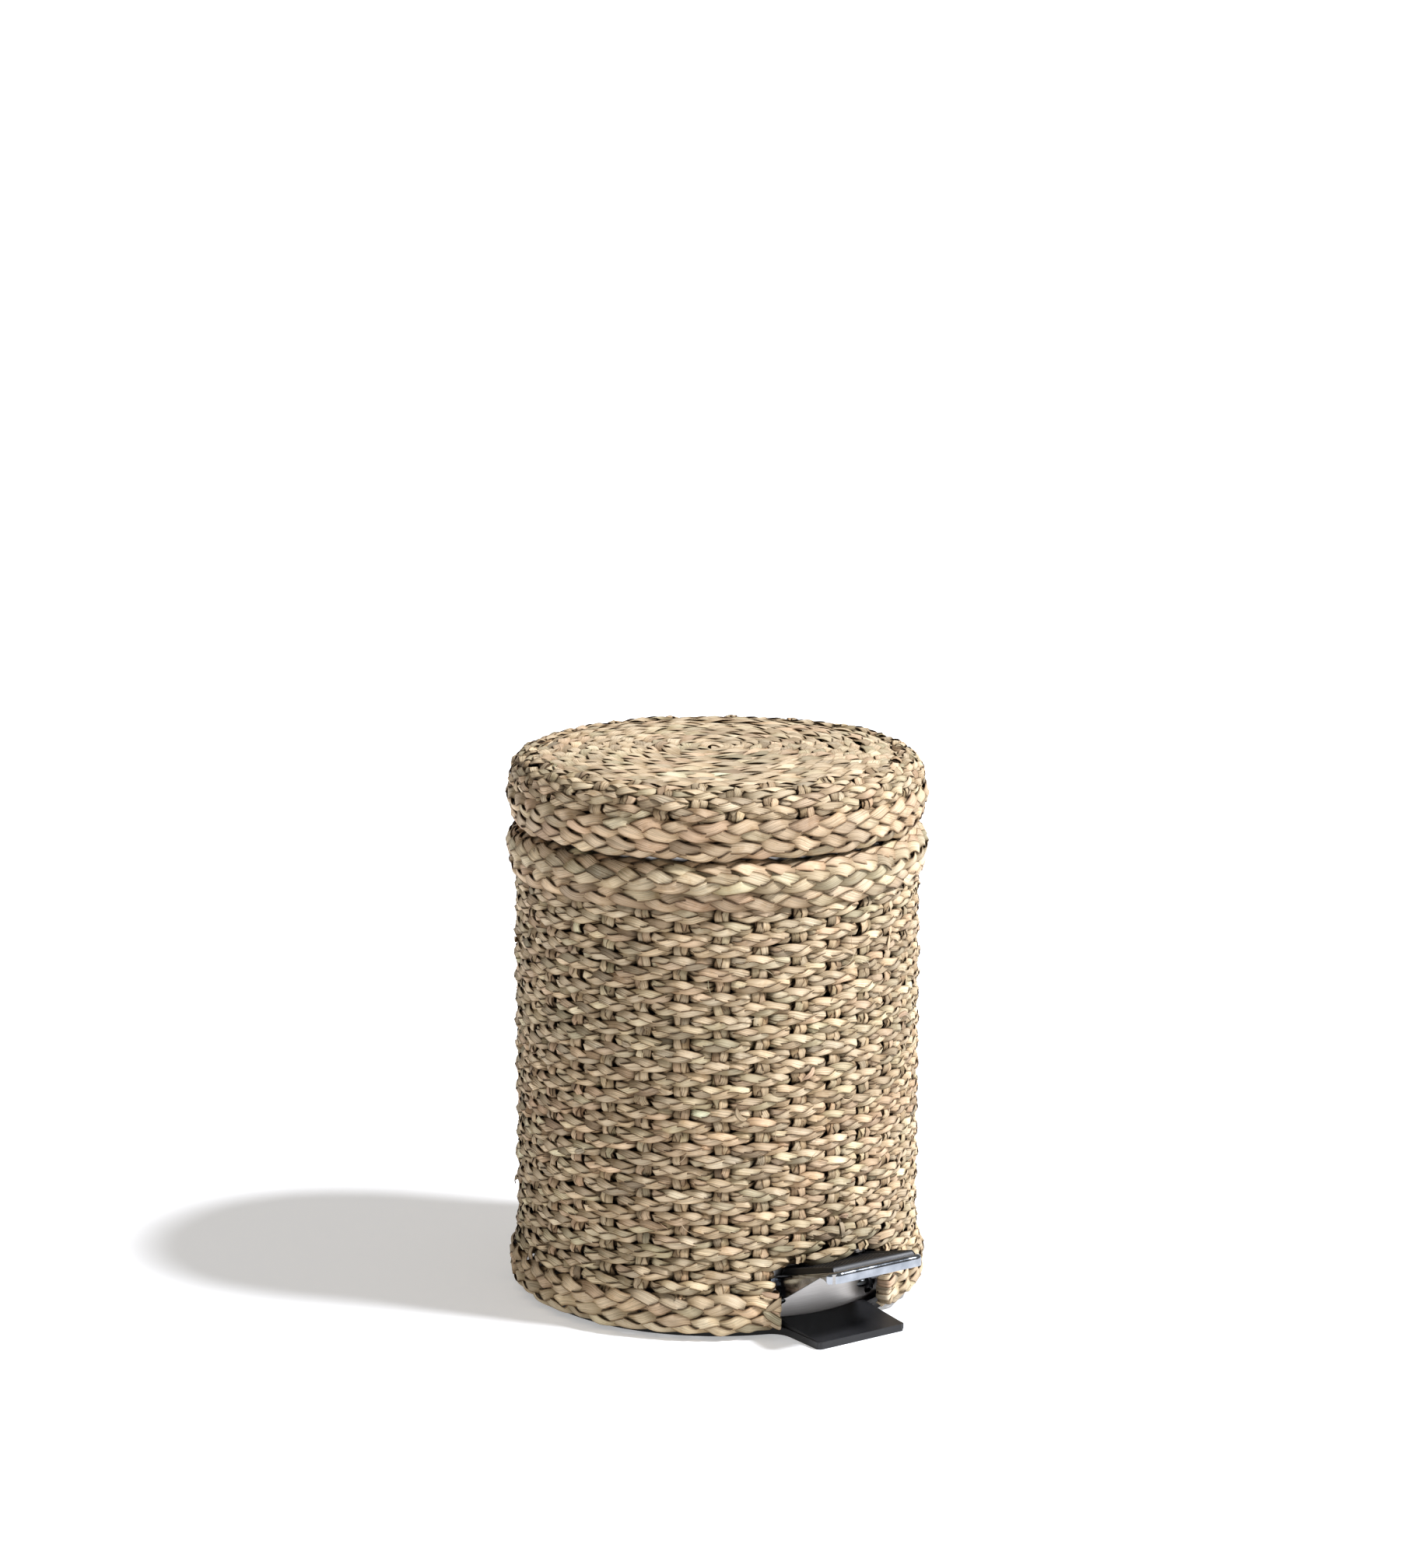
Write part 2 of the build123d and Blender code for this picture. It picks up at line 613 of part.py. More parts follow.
# ---- inner bucket and its bail ----
def make_bucket():
    flange_low = BUCKET_TOP_Z - BUCKET_FLANGE_T
    t = BUCKET_T
    lug_in, lug_out = 84.6, 88.0
    with BuildPart() as bucket:
        ring(
            [
                (0, BUCKET_BOTTOM_Z),
                (BUCKET_R_BOTTOM - 3, BUCKET_BOTTOM_Z),
                (BUCKET_R_BOTTOM, BUCKET_BOTTOM_Z + 3),
                (BUCKET_R_TOP, flange_low),
                (SHELL_R + 0.5, flange_low),
                (SHELL_R + 0.5, BUCKET_TOP_Z),
                (BUCKET_R_TOP - t, BUCKET_TOP_Z),
                (BUCKET_R_BOTTOM - t, BUCKET_BOTTOM_Z + 4),
                (BUCKET_R_BOTTOM - 4, BUCKET_BOTTOM_Z + 2),
                (0, BUCKET_BOTTOM_Z + 2),
            ]
        )
        # notch in the flange for the lid's lever and the rod
        with BuildSketch(Plane.XY.offset(flange_low - 1)):
            with Locations((2.0, 84.4 + 15)):
                Rectangle(22.0, 30)
        extrude(amount=6, mode=Mode.SUBTRACT)
        for side_sign in (-1, 1):
            with BuildSketch(Plane.YZ.offset(side_sign * (lug_in + lug_out) / 2)):
                with BuildLine():
                    foot_z = BUCKET_TOP_Z - 1
                    Polyline((-5, foot_z), (5, foot_z), (4.2, BAIL_Z), (-4.2, BAIL_Z), close=True)
                make_face()
                with Locations((0, BAIL_Z)):
                    Circle(4.2)
                    Circle(BAIL_WIRE_R + 0.08, mode=Mode.SUBTRACT)
                with Locations((0, BAIL_Z)):
                    Circle(BAIL_WIRE_R + 0.08, mode=Mode.SUBTRACT)
            extrude(amount=(lug_out - lug_in) / 2, both=True)
    save(bucket, "bucket")


def make_bail():
    inner = BAIL_R - 8.6
    bend = BAIL_BEND
    turn = BAIL_R
    with BuildPart() as bail:
        with BuildLine() as path:
            Line((-inner, 0, BAIL_Z), (-turn + bend, 0, BAIL_Z))
            RadiusArc((-turn + bend, 0, BAIL_Z), (-turn, -bend, BAIL_Z), -bend)
            ThreePointArc((-turn, -bend, BAIL_Z), (0, -turn - bend, BAIL_Z), (turn, -bend, BAIL_Z))
            RadiusArc((turn, -bend, BAIL_Z), (turn - bend, 0, BAIL_Z), -bend)
            Line((turn - bend, 0, BAIL_Z), (inner, 0, BAIL_Z))
        with BuildSketch(Plane(origin=path.line @ 0, z_dir=path.line % 0)):
            Circle(BAIL_WIRE_R)
        sweep()
    save(bail, "bail_wire")


def make_bail_grip():
    half_turn = 13.0
    start = radians(-90 - half_turn)
    across = Plane(
        origin=(0, -BAIL_BEND, BAIL_Z),
        x_dir=(cos(start), sin(start), 0),
        z_dir=(sin(start), -cos(start), 0),
    )
    with BuildPart() as grip:
        with BuildSketch(across):
            with Locations((BAIL_R, 0)):
                Circle(3.9)
                Circle(BAIL_WIRE_R + 0.05, mode=Mode.SUBTRACT)
        revolve(axis=Axis((0, -BAIL_BEND, 0), (0, 0, 1)), revolution_arc=2 * half_turn)
    save(grip, "bail_grip")


# ---- woven cover: plain closed solids with the true outer shape ----
def cut_pedal_opening(top=OPENING_TOP):
    block(-OPENING_HALF, OPENING_HALF, -140, -60, -5, top, mode=Mode.SUBTRACT)


def cut_hinge_notch(low, high=330.0):
    block(-NOTCH_HALF, NOTCH_HALF, 60, 140, low, high, mode=Mode.SUBTRACT)


def make_woven_wall():
    with BuildPart() as wall:
        ring(
            [
                (WEAVE_IN_R, FOOT_TOP_Z),
                (WEAVE_R + 3.6, FOOT_TOP_Z),
                (WEAVE_R + 1.4, FOOT_TOP_Z + 4),
                (WEAVE_R, FOOT_TOP_Z + 9),
                (WEAVE_R, RIM_LOW_Z),
                (WEAVE_IN_R, RIM_LOW_Z),
            ]
        )
        cut_pedal_opening()
        cut_hinge_notch(NOTCH_LOW_Z)
    save(wall, "woven_wall")


def braid_ring(name, outline, opening=False, notch=False):
    """A fat border braid: a closed ring of the braid's outer shape."""
    with BuildPart() as braid:
        ring(outline)
        if opening:
            cut_pedal_opening()
        if notch:
            cut_hinge_notch(NOTCH_LOW_Z, LID_NOTCH_TOP)
    save(braid, name)


def make_braids():
    r_in = WEAVE_IN_R
    foot_in = BASE_R + 0.2
    braid_ring(
        "foot_braid_lower",
        [
            (foot_in, BASE_FLANGE_H + 0.2),
            (foot_in, 4.0),
            (107.0, 3.2),
            (111.6, 5.2),
            (113.6, 9.5),
            (114.0, FOOT_SPLIT_Z),
            (r_in, FOOT_SPLIT_Z),
            (r_in, BASE_FLANGE_H + 0.2),
        ],
        opening=True,
    )
    braid_ring(
        "foot_braid_upper",
        [
            (r_in, FOOT_SPLIT_Z),
            (114.0, FOOT_SPLIT_Z),
            (114.4, 19.0),
            (113.6, 22.5),
            (111.6, FOOT_TOP_Z),
            (r_in, FOOT_TOP_Z),
        ],
        opening=True,
    )
    braid_ring(
        "rim_braid_lower",
        [(r_in, RIM_LOW_Z), (109.5, RIM_LOW_Z), (111.2, 236.5), (111.4, RIM_SPLIT_Z), (r_in, RIM_SPLIT_Z)],
        notch=True,
    )
    braid_ring(
        "rim_braid_upper",
        [
            (r_in, RIM_SPLIT_Z),
            (111.4, RIM_SPLIT_Z),
            (113.0, 247.5),
            (112.4, 253.5),
            (109.0, RIM_TOP_Z),
            (103.4, RIM_TOP_Z),
            (r_in, 253.4),
        ],
        notch=True,
    )
    lid_in = LID_IN_R + LID_T + 0.4
    braid_ring(
        "lid_braid_lower",
        [
            (lid_in, LID_LOW_Z),
            (107.0, LID_LOW_Z),
            (109.4, 265.0),
            (110.2, LID_SPLIT_Z),
            (lid_in, LID_SPLIT_Z),
        ],
        notch=True,
    )
    braid_ring(
        "lid_braid_upper",
        [
            (lid_in, LID_SPLIT_Z),
            (110.2, LID_SPLIT_Z),
            (111.4, 276.0),
            (111.6, LID_SIDE_Z),
            (lid_in, LID_SIDE_Z),
        ],
        notch=True,
    )


def make_woven_lid():
    lid_in = LID_IN_R + LID_T + 0.4
    with BuildPart() as side:
        ring(
            [
                (lid_in, LID_SIDE_Z),
                (111.6, LID_SIDE_Z),
                (111.2, 286.0),
                (109.2, 291.5),
                (105.6, 296.4),
                (LID_COIL_R, 298.6),
                (LID_COIL_R, LID_TOP_Z + 0.6),
                (lid_in, 284.0),
            ]
        )
        cut_hinge_notch(NOTCH_LOW_Z, LID_NOTCH_TOP)
    save(side, "woven_lid_side")
    with BuildPart() as coil:
        ring(
            [
                (0, LID_TOP_Z + 0.6),
                (LID_COIL_R - 0.1, LID_TOP_Z + 0.6),
                (LID_COIL_R - 0.1, 298.6),
                (88.0, 299.6),
                (0, TOTAL_H),
            ]
        )
    save(coil, "woven_lid_top")


make_base_tray()
make_outer_shell()
make_hinge_bracket()
make_hinge_rivets()
make_hinge_pin()
make_pedal_plate()
make_pedal_pad()
make_pedal_arm()
make_pedal_rivets()
make_pivot_bushes()
make_pivot_pin()
make_pivot_caps()
make_lift_rod()
make_rod_guide()
make_lid_shell()
make_lid_skirt()
make_lid_lever()
make_lid_rivets()
make_bucket()
make_bail()
make_bail_grip()
make_woven_wall()
make_braids()
make_woven_lid()
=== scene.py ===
"""Looks of the woven pedal bin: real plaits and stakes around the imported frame.

The weave is worked out in millimetres, with angles counted from the front (-Y) towards +X.
Everything that goes into the scene is in metres, in the frame's own place.
"""

import json
import math
from collections import namedtuple

import bpy
import numpy as np
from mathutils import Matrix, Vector


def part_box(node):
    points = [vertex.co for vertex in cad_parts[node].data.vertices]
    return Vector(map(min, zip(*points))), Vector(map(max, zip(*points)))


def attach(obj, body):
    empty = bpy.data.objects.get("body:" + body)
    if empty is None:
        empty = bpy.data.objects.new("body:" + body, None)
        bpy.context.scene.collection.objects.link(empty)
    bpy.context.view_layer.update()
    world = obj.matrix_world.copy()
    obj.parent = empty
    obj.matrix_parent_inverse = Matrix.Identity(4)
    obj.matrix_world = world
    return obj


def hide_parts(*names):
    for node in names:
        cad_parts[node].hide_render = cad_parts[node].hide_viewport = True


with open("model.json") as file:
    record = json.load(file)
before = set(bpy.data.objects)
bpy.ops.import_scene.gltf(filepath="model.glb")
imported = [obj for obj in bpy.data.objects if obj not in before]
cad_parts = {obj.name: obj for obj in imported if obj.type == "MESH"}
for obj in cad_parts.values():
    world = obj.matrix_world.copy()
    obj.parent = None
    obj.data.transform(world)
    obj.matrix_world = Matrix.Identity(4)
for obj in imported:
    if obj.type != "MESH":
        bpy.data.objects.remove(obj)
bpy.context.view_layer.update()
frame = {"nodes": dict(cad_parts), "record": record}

MM = 0.001
TURN = 2 * math.pi
UP = np.array([0, 0, 1.0])


def low(node):
    """Lowest corner of a node, in millimetres."""
    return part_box(node)[0] / MM


def high(node):
    """Highest corner of a node, in millimetres."""
    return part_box(node)[1] / MM


# ---- sizes, from the frame ----
WALL_LOW, WALL_HIGH = low("woven_wall").z, high("woven_wall").z
SHELL_R = high("outer_shell").x
FOOT_LOW = low("foot_braid_lower").z
FOOT_SPLIT = high("foot_braid_lower").z
FOOT_TOP = high("foot_braid_upper").z
RIM_LOW = low("rim_braid_lower").z
RIM_SPLIT = high("rim_braid_lower").z
RIM_TOP = high("rim_braid_upper").z
LID_LOW = low("lid_braid_lower").z
LID_SPLIT = high("lid_braid_lower").z
LID_SIDE = high("lid_braid_upper").z
LID_TOP = high("woven_lid_top").z
LID_R = high("lid_braid_upper").x
COIL_R = high("woven_lid_top").x

# ---- sizes of the weave ----
OPENING_HALF = 34.0  # the pedal's opening, to each side
OPENING_TOP = 37.5
NOTCH_HALF = 21.5  # the hinge's gap at the back, to each side
NOTCH_LOW = 221.0
FRONT_GAP = (0.0, OPENING_HALF)  # middle angle and half width
BACK_GAP = (math.pi, NOTCH_HALF)

ROWS = round((WALL_HIGH - WALL_LOW) / 6.25)
ROW_PITCH = (WALL_HIGH - WALL_LOW) / ROWS
ROW_R = 107.0  # middle of the weavers
ROW_SWING = 2.3  # how far a weaver goes in and out at each stake
ROWS_IN_PIECE = 8
STAKES = 32
STAKE_SHADE = 0.86  # painted shade: the stakes lie deeper than the weavers

LID_ROWS = 4
LID_ROW_PITCH = 5.9
LID_FIRST_ROW = 2.6  # above the lid's border plaits
LID_SWING = 2.0
LID_STAKES = 36

COIL_PITCH = 8.6
COIL_START_R = 2.4  # the coil's middle
COIL_RIM = COIL_R - 4.5

SPLICES, FIBRES = 26, 90  # loose ends on the wall
FOLDS = 7  # folds of straw at each side of the opening

# first seeds of the random draws
ROW_SEED, STAKE_SEED, BORDER_SEED = 100, 300, 500
LID_ROW_SEED, LID_STAKE_SEED, COIL_SEED = 600, 700, 800
LOOSE_SEED, FOLD_SEED = 900, 950

# section of one strand, as (across, out): a flat ribbon; the array after it says how light each point is
# left by painted shade towards the strand's edges
SECTION = np.array(
    [
        (1.0, -0.15),
        (0.94, 0.42),
        (0.74, 0.78),
        (0.35, 0.96),
        (-0.35, 0.96),
        (-0.74, 0.78),
        (-0.94, 0.42),
        (-1.0, -0.15),
        (-0.5, -0.8),
        (0.5, -0.8),
    ]
)
# painted shade towards the strand's edges: at 1 a point is left as it is, at 0 it is darkest
PAINTED_EDGE_SHADE = np.array([0.0, 0.25, 0.85, 1.0, 1.0, 0.85, 0.25, 0.0, 0.0, 0.0])
CAP = [(9, 0, 1, 2), (9, 2, 3, 4), (9, 4, 5, 6), (9, 6, 7, 8)]  # closes a strand's end

# colours of the straw, and how much of it has each colour
STRAW = np.array(
    [
        (0.68, 0.55, 0.385),
        (0.64, 0.505, 0.335),
        (0.58, 0.51, 0.345),
        (0.53, 0.49, 0.32),
        (0.66, 0.47, 0.32),
        (0.74, 0.63, 0.46),
        (0.49, 0.37, 0.235),
    ]
)
STRAW_SHARE = np.array([0.27, 0.24, 0.11, 0.05, 0.14, 0.13, 0.06])
FADE = np.array([1.0, 1.15, 1.4])  # in shade, blue fades faster than red

# A kind of plait. spread and lift: how far its strands go sideways, and in and out; width and
# thick: size of a strand; roll: how much a strand tilts at the sides; period: length of one full
# plait; step: distance between points; soft: how little painted shade darkens a strand towards its edges.
Kind = namedtuple("Kind", "spread lift width thick roll period step soft")
WEAVER = Kind(spread=2.3, lift=0.55, width=4.6, thick=0.6, roll=0.6, period=40.0, step=1.8, soft=0.0)
STAKE = Kind(spread=2.5, lift=0.5, width=4.8, thick=0.7, roll=0.35, period=46.0, step=2.4, soft=0.0)
BORDER = Kind(spread=3.7, lift=1.1, width=7.0, thick=1.0, roll=0.6, period=50.0, step=1.8, soft=0.1)
COIL = Kind(spread=3.0, lift=0.55, width=6.8, thick=0.7, roll=0.25, period=50.0, step=2.0, soft=0.75)

# how unsteady a strand is: how much it varies, and the least and most waves along it
UNSTEADY = {
    "phase": (0.16, 6, 30),
    "spread": (0.07, 5, 40),
    "lift": (0.10, 5, 40),
    "side": (0.10, 10, 40),
    "roll": (0.05, 10, 50),
    "width": (0.08, 8, 60),
    "thick": (0.10, 8, 60),
}

# A line to plait along: its points, its outward and across directions, the plait's phase, whether
# it closes, how much the plait is squeezed together, and how light its painted shade leaves it.
Line = namedtuple("Line", "centre outward across turn closed squeeze shade")


# ---- small array helpers ----
def unit(v):
    """Vectors brought to length 1."""
    return v / np.linalg.norm(v, axis=-1, keepdims=True).clip(1e-9)


def slope(v, closed):
    """Direction of a line of points at each of its points."""
    if closed:
        return unit(np.roll(v, -1, axis=0) - np.roll(v, 1, axis=0))
    return unit(np.gradient(v, axis=0))


def wander(rng, count, low_wave, high_wave, closed=True):
    """A smooth random wave of about unit height along count points."""
    x = np.linspace(0, 1, count, endpoint=not closed)
    total = np.zeros(count)
    waves = np.unique(np.linspace(low_wave, high_wave, 7).astype(int).clip(1))
    for k in waves:
        total += rng.normal(0, 1) * np.sin(TURN * (k * x + rng.random()))
    return total / math.sqrt(len(waves)) * 1.2


def place(angle, radius, height):
    """Points at an angle from the front, a distance from the axis and a height."""
    return np.stack([radius * np.sin(angle), -radius * np.cos(angle), height + 0 * angle], axis=-1)


def radially(angle):
    """The direction away from the axis at each angle."""
    return place(angle, 1.0 + 0 * angle, 0 * angle)


def one_tint(colour, count):
    """The same colour at each of count points."""
    return np.repeat(colour[None, :], count, axis=0)


def any_straw(rng):
    """One of the straw's colours."""
    return STRAW[rng.choice(len(STRAW), p=STRAW_SHARE)]


def fibre_marks(path, mean_half_width, mark, i, j):
    """Texture places of the corners of faces i along a strand and j round its section."""
    step = np.linalg.norm(np.roll(path, -1, axis=0) - path, axis=1)
    run = mark + np.concatenate([[0], np.cumsum(step)])
    sides = np.linalg.norm(np.roll(SECTION, -1, axis=0) - SECTION, axis=1)
    girth = np.concatenate([[0], np.cumsum(sides)]) * mean_half_width
    corners = [(j, i), (j + 1, i), (j + 1, i + 1), (j, i + 1)]
    return np.stack([np.stack([girth[a], run[b]], axis=1) for a, b in corners], axis=1)


class Weave:
    """Collects strands and turns them into one mesh."""

    def __init__(self):
        self.points, self.faces, self.tints, self.marks = [], [], [], []
        self.count = 0

    def strand(self, path, normals, half_width, half_thick, tint, closed, mark=0.0, soft=0.0):
        """One flat strand: its widths, thickness and colour with painted shade are given at each point of
        its path.
        """
        n, m = len(path), len(SECTION)
        along = slope(path, closed)
        across = unit(np.cross(normals, along))
        out = unit(np.cross(along, across))
        if not closed:
            from_end = np.minimum(np.arange(n), np.arange(n)[::-1])
            pinch = np.clip(0.35 + 0.3 * from_end, 0, 1)  # full width from the fourth point on
            half_width, half_thick = half_width * pinch, half_thick * pinch
        rings = (
            path[:, None, :]
            + across[:, None, :] * (half_width[:, None] * SECTION[:, 0])[:, :, None]
            + out[:, None, :] * (half_thick[:, None] * SECTION[:, 1])[:, :, None]
        )
        spans = n if closed else n - 1
        i = np.repeat(np.arange(spans), m)
        j = np.tile(np.arange(m), spans)
        i2, j2 = (i + 1) % n, (j + 1) % m
        quads = np.stack([i * m + j, i * m + j2, i2 * m + j2, i2 * m + j], axis=1)
        marks = fibre_marks(path, np.mean(half_width), mark, i, j)
        if not closed:
            first = np.array(CAP)
            last = first[:, ::-1] + (n - 1) * m
            quads = np.concatenate([quads, first, last])
            marks = np.concatenate([marks, np.zeros((2 * len(CAP), 4, 2))])
        # painted shade towards the strand's edges, carried in the colour's alpha
        painted_edge_light = np.tile(soft + (1 - soft) * PAINTED_EDGE_SHADE, n)
        self.points.append(rings.reshape(-1, 3))
        self.faces.append(quads + self.count)
        self.tints.append(np.column_stack([np.repeat(tint, m, axis=0), painted_edge_light]))
        self.marks.append(marks.reshape(-1, 2))
        self.count += n * m

    def piece(self, name, body, node, material):
        """Makes the mesh, hangs it on the body that it rides on, and hides the node that it stands for."""
        points = np.concatenate(self.points) * MM
        faces = np.concatenate(self.faces)
        tint = np.concatenate(self.tints)
        mesh = bpy.data.meshes.new(name)
        mesh.vertices.add(len(points))
        mesh.vertices.foreach_set("co", points.ravel())
        mesh.loops.add(faces.size)
        mesh.loops.foreach_set("vertex_index", faces.ravel())
        mesh.polygons.add(len(faces))
        mesh.polygons.foreach_set("loop_start", np.arange(0, faces.size, 4))
        mesh.update(calc_edges=True)
        fibre = mesh.uv_layers.new(name="fibre")
        fibre.uv.foreach_set("vector", np.concatenate(self.marks).ravel())
        # the straw's colour with painted shade, and the painted edge shade in its alpha
        colours = mesh.color_attributes.new("tint", "FLOAT_COLOR", "POINT")
        colours.data.foreach_set("color", tint.ravel())
        mesh.shade_smooth()
        mesh.validate()
        made = add_object(name, mesh, material)
        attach(made, body)
        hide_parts(node)


def add_object(name, mesh, material):
    """Puts a mesh into the scene with its material."""
    made = bpy.data.objects.new(name, mesh)
    bpy.context.collection.objects.link(made)
    made.data.materials.append(material)
    return made


# ---- plaits ----
def facet_tints(rng, turn, mood):
    """One straw colour for each visible facet of a strand, changing where the strand is hidden."""
    hidden_at = 5 * math.pi / 6
    variety = 0.15
    darkest, lightest = 0.05, 0.85
    facet = np.floor((turn - hidden_at) / math.pi).astype(int)
    facet -= facet.min()
    picks = rng.choice(len(STRAW), size=facet.max() + 1, p=STRAW_SHARE)
    own = STRAW[picks] * 0.5 + mood * 0.5
    own = own * (1 + variety * rng.standard_normal((len(picks), 1)))
    return own[facet].clip(darkest, lightest)


def plait(weave, rng, line, kind):
    """Three flat strands plaited along a line."""
    n = len(line.centre)
    sharpness = 0.93  # of the turns at the sides: near 0 they are a wave's, at 1 a zigzag's
    mood = any_straw(rng) * 0.6 + STRAW[0] * 0.4

    def unsteady(what):
        """The strand's own wander in one of its measures."""
        amount, low_wave, high_wave = UNSTEADY[what]
        return amount * wander(rng, n, low_wave, high_wave, line.closed)

    for k in range(3):
        turn = line.turn + TURN * k / 3 + unsteady("phase")
        side = np.arcsin(sharpness * np.sin(turn)) / math.asin(sharpness)
        front = np.sin(2 * turn)
        spread = kind.spread * (1 + unsteady("spread"))
        lift = kind.lift * (1 + unsteady("lift"))
        path = (
            line.centre
            + line.across * (spread * line.squeeze * side + unsteady("side"))[:, None]
            + line.outward * (lift * line.squeeze * front)[:, None]
        )
        roll = kind.roll * side * np.abs(side) + unsteady("roll")
        normals = line.outward * np.cos(roll)[:, None] + line.across * np.sin(roll)[:, None]
        narrowed = 0.45 + 0.55 * line.squeeze  # a squeezed plait has narrower strands too
        half_width = kind.width / 2 * (1 + unsteady("width")) * narrowed
        half_thick = kind.thick / 2 * (1 + unsteady("thick"))
        light = line.shade * (0.78 + 0.22 * front)  # painted shade: darker where another strand lies over it
        tint = facet_tints(rng, turn, mood) * light[:, None] ** FADE
        mark = 1000 * rng.random()
        weave.strand(path, normals, half_width, half_thick, tint, line.closed, mark, kind.soft)


def course_angles(kind, radius, gap):
    """Angles of a course's points, and how far each is tucked in beside the gap, from 0 to 1."""
    length = TURN * radius
    if gap is None:
        angle = np.linspace(0, TURN, int(length / kind.step), endpoint=False) + math.pi
        return angle, 0 * angle
    middle, half = gap
    edge = math.asin(half / radius)
    count = int((length - 2 * half) / kind.step)
    angle = np.linspace(middle + edge, middle + TURN - edge, count)
    tuck_length = 4.0
    from_end = np.minimum(angle - angle[0], angle[-1] - angle) * radius
    return angle, (1 - np.clip(from_end / tuck_length, 0, 1)) ** 2


def past_stakes(angle, radius, stakes, shift, swing):
    """How far out a course goes, how far behind a stake it dips, and how it tapers towards that."""
    if not stakes:
        return 0 * angle, 0 * angle, 0 * angle
    hidden_half, climb = 3.3, 4.4  # half the length behind a stake, and the length that comes out
    spacing = TURN * radius / stakes
    phase = stakes / 2 * angle + math.pi * shift
    to_under = np.abs(phase % TURN - math.pi) * spacing / math.pi
    near = 1 - np.clip((to_under - hidden_half) / climb, 0, 1)
    dip = near * near * (3 - 2 * near)
    bulge = swing * (0.45 + 0.45 * np.clip(to_under / spacing, 0, 1) ** 2 - 1.75 * dip)
    taper = np.clip(1 - to_under / spacing, 0, 1) ** 2
    return bulge, dip, taper


def course(kind, rng, radius, height, lean=0.0, swing=0.0, stakes=0, shift=0, gap=None, way=-1, settle=0.45):
    """The line of one horizontal course.

    lean tips its outward side up, swing takes it over and under the stakes, shift moves that along
    by so many stakes, gap is the middle angle and half width of a stretch that is left out, way is
    the plait's hand, and settle is how unevenly the course lies.
    """
    cycles = round(TURN * radius / kind.period + rng.uniform(-0.6, 0.6))
    angle, tuck = course_angles(kind, radius, gap)
    closed = gap is None
    count = len(angle)
    bulge, dip, taper = past_stakes(angle, radius, stakes, shift, swing)
    sway, tuck_depth = 0.25, 3.6
    r = radius + bulge + sway * wander(rng, count, 2, 14, closed)
    z = height + settle * wander(rng, count, 2, 16, closed)
    centre = place(angle, r - tuck_depth * tuck, z)
    outward = radially(angle) * math.cos(lean) + UP * math.sin(lean)
    along = slope(centre, closed)
    outward = unit(outward - along * np.sum(outward * along, axis=1, keepdims=True))
    across = unit(np.cross(along, outward))
    lies_flat = abs(math.cos(lean)) <= 0.2
    if not lies_flat:
        across *= np.sign(across[:, 2:3].mean())  # across points up
    turn = way * cycles * angle + TURN * rng.random()
    # narrower, and darker with painted shade, where it dips behind a stake, on the way there and where it is
    # tucked in
    squeeze = (1 - 0.15 * dip - 0.30 * taper) * (1 - 0.25 * tuck)
    shade = 1 - 0.5 * dip * dip - 0.15 * taper - 0.4 * tuck
    return Line(centre, outward, across, turn, closed, squeeze, shade)


def stake_line(rng, centre, outward, across, run):
    """The line of one stake; run is the distance along it."""
    turn = rng.choice([-1, 1]) * TURN * run / STAKE.period + TURN * rng.random()
    steady = np.ones(len(run))
    return Line(centre, outward, across, turn, False, steady, STAKE_SHADE)


# ---- materials ----
def new_material(name):
    """A new material, with its nodes, links and shader."""
    material = bpy.data.materials.new(name)
    material.use_nodes = True
    nodes, links = material.node_tree.nodes, material.node_tree.links
    return material, nodes, links, nodes["Principled BSDF"]


def object_place(nodes):
    """The place on the object, in metres."""
    return nodes.new("ShaderNodeTexCoord").outputs["Object"]


def noise(nodes, links, vector, scale, detail=3.0, stretch=(1, 1, 1)):
    """A noise texture over stretched coordinates; returns its factor."""
    mapping = nodes.new("ShaderNodeMapping")
    mapping.inputs["Scale"].default_value = stretch
    links.new(vector, mapping.inputs["Vector"])
    texture = nodes.new("ShaderNodeTexNoise")
    texture.inputs["Scale"].default_value = scale
    texture.inputs["Detail"].default_value = detail
    links.new(mapping.outputs["Vector"], texture.inputs["Vector"])
    return texture.outputs["Fac"]


def ramp(nodes, links, value, *stops):
    """A colour ramp with (place, colour) stops; a number stands for a grey."""
    made = nodes.new("ShaderNodeValToRGB")
    while len(made.color_ramp.elements) < len(stops):
        made.color_ramp.elements.new(0.5)
    for element, (spot, colour) in zip(made.color_ramp.elements, stops):
        element.position = spot
        element.color = (colour, colour, colour, 1) if isinstance(colour, float) else (*colour, 1)
    links.new(value, made.inputs["Fac"])
    return made.outputs["Color"]


def multiply(nodes, links, a, b, amount=1.0):
    """Colour a darkened or lightened by colour b."""
    mix = nodes.new("ShaderNodeMix")
    mix.data_type = "RGBA"
    mix.blend_type = "MULTIPLY"
    mix.inputs["Factor"].default_value = amount
    links.new(a, mix.inputs["A"])
    links.new(b, mix.inputs["B"])
    return mix.outputs["Result"]


def bump(nodes, links, height, shader, distance, before=None):
    """Fine relief on a shader, on top of an earlier one if there is one."""
    made = nodes.new("ShaderNodeBump")
    made.inputs["Strength"].default_value = 1.0
    made.inputs["Distance"].default_value = distance * MM
    links.new(height, made.inputs["Height"])
    if before is not None:
        links.new(before, made.inputs["Normal"])
    links.new(made.outputs["Normal"], shader.inputs["Normal"])
    return made.outputs["Normal"]


def toned(colour, factor):
    """A colour made lighter, or darker by a factor under 1."""
    return tuple(factor * channel for channel in colour)


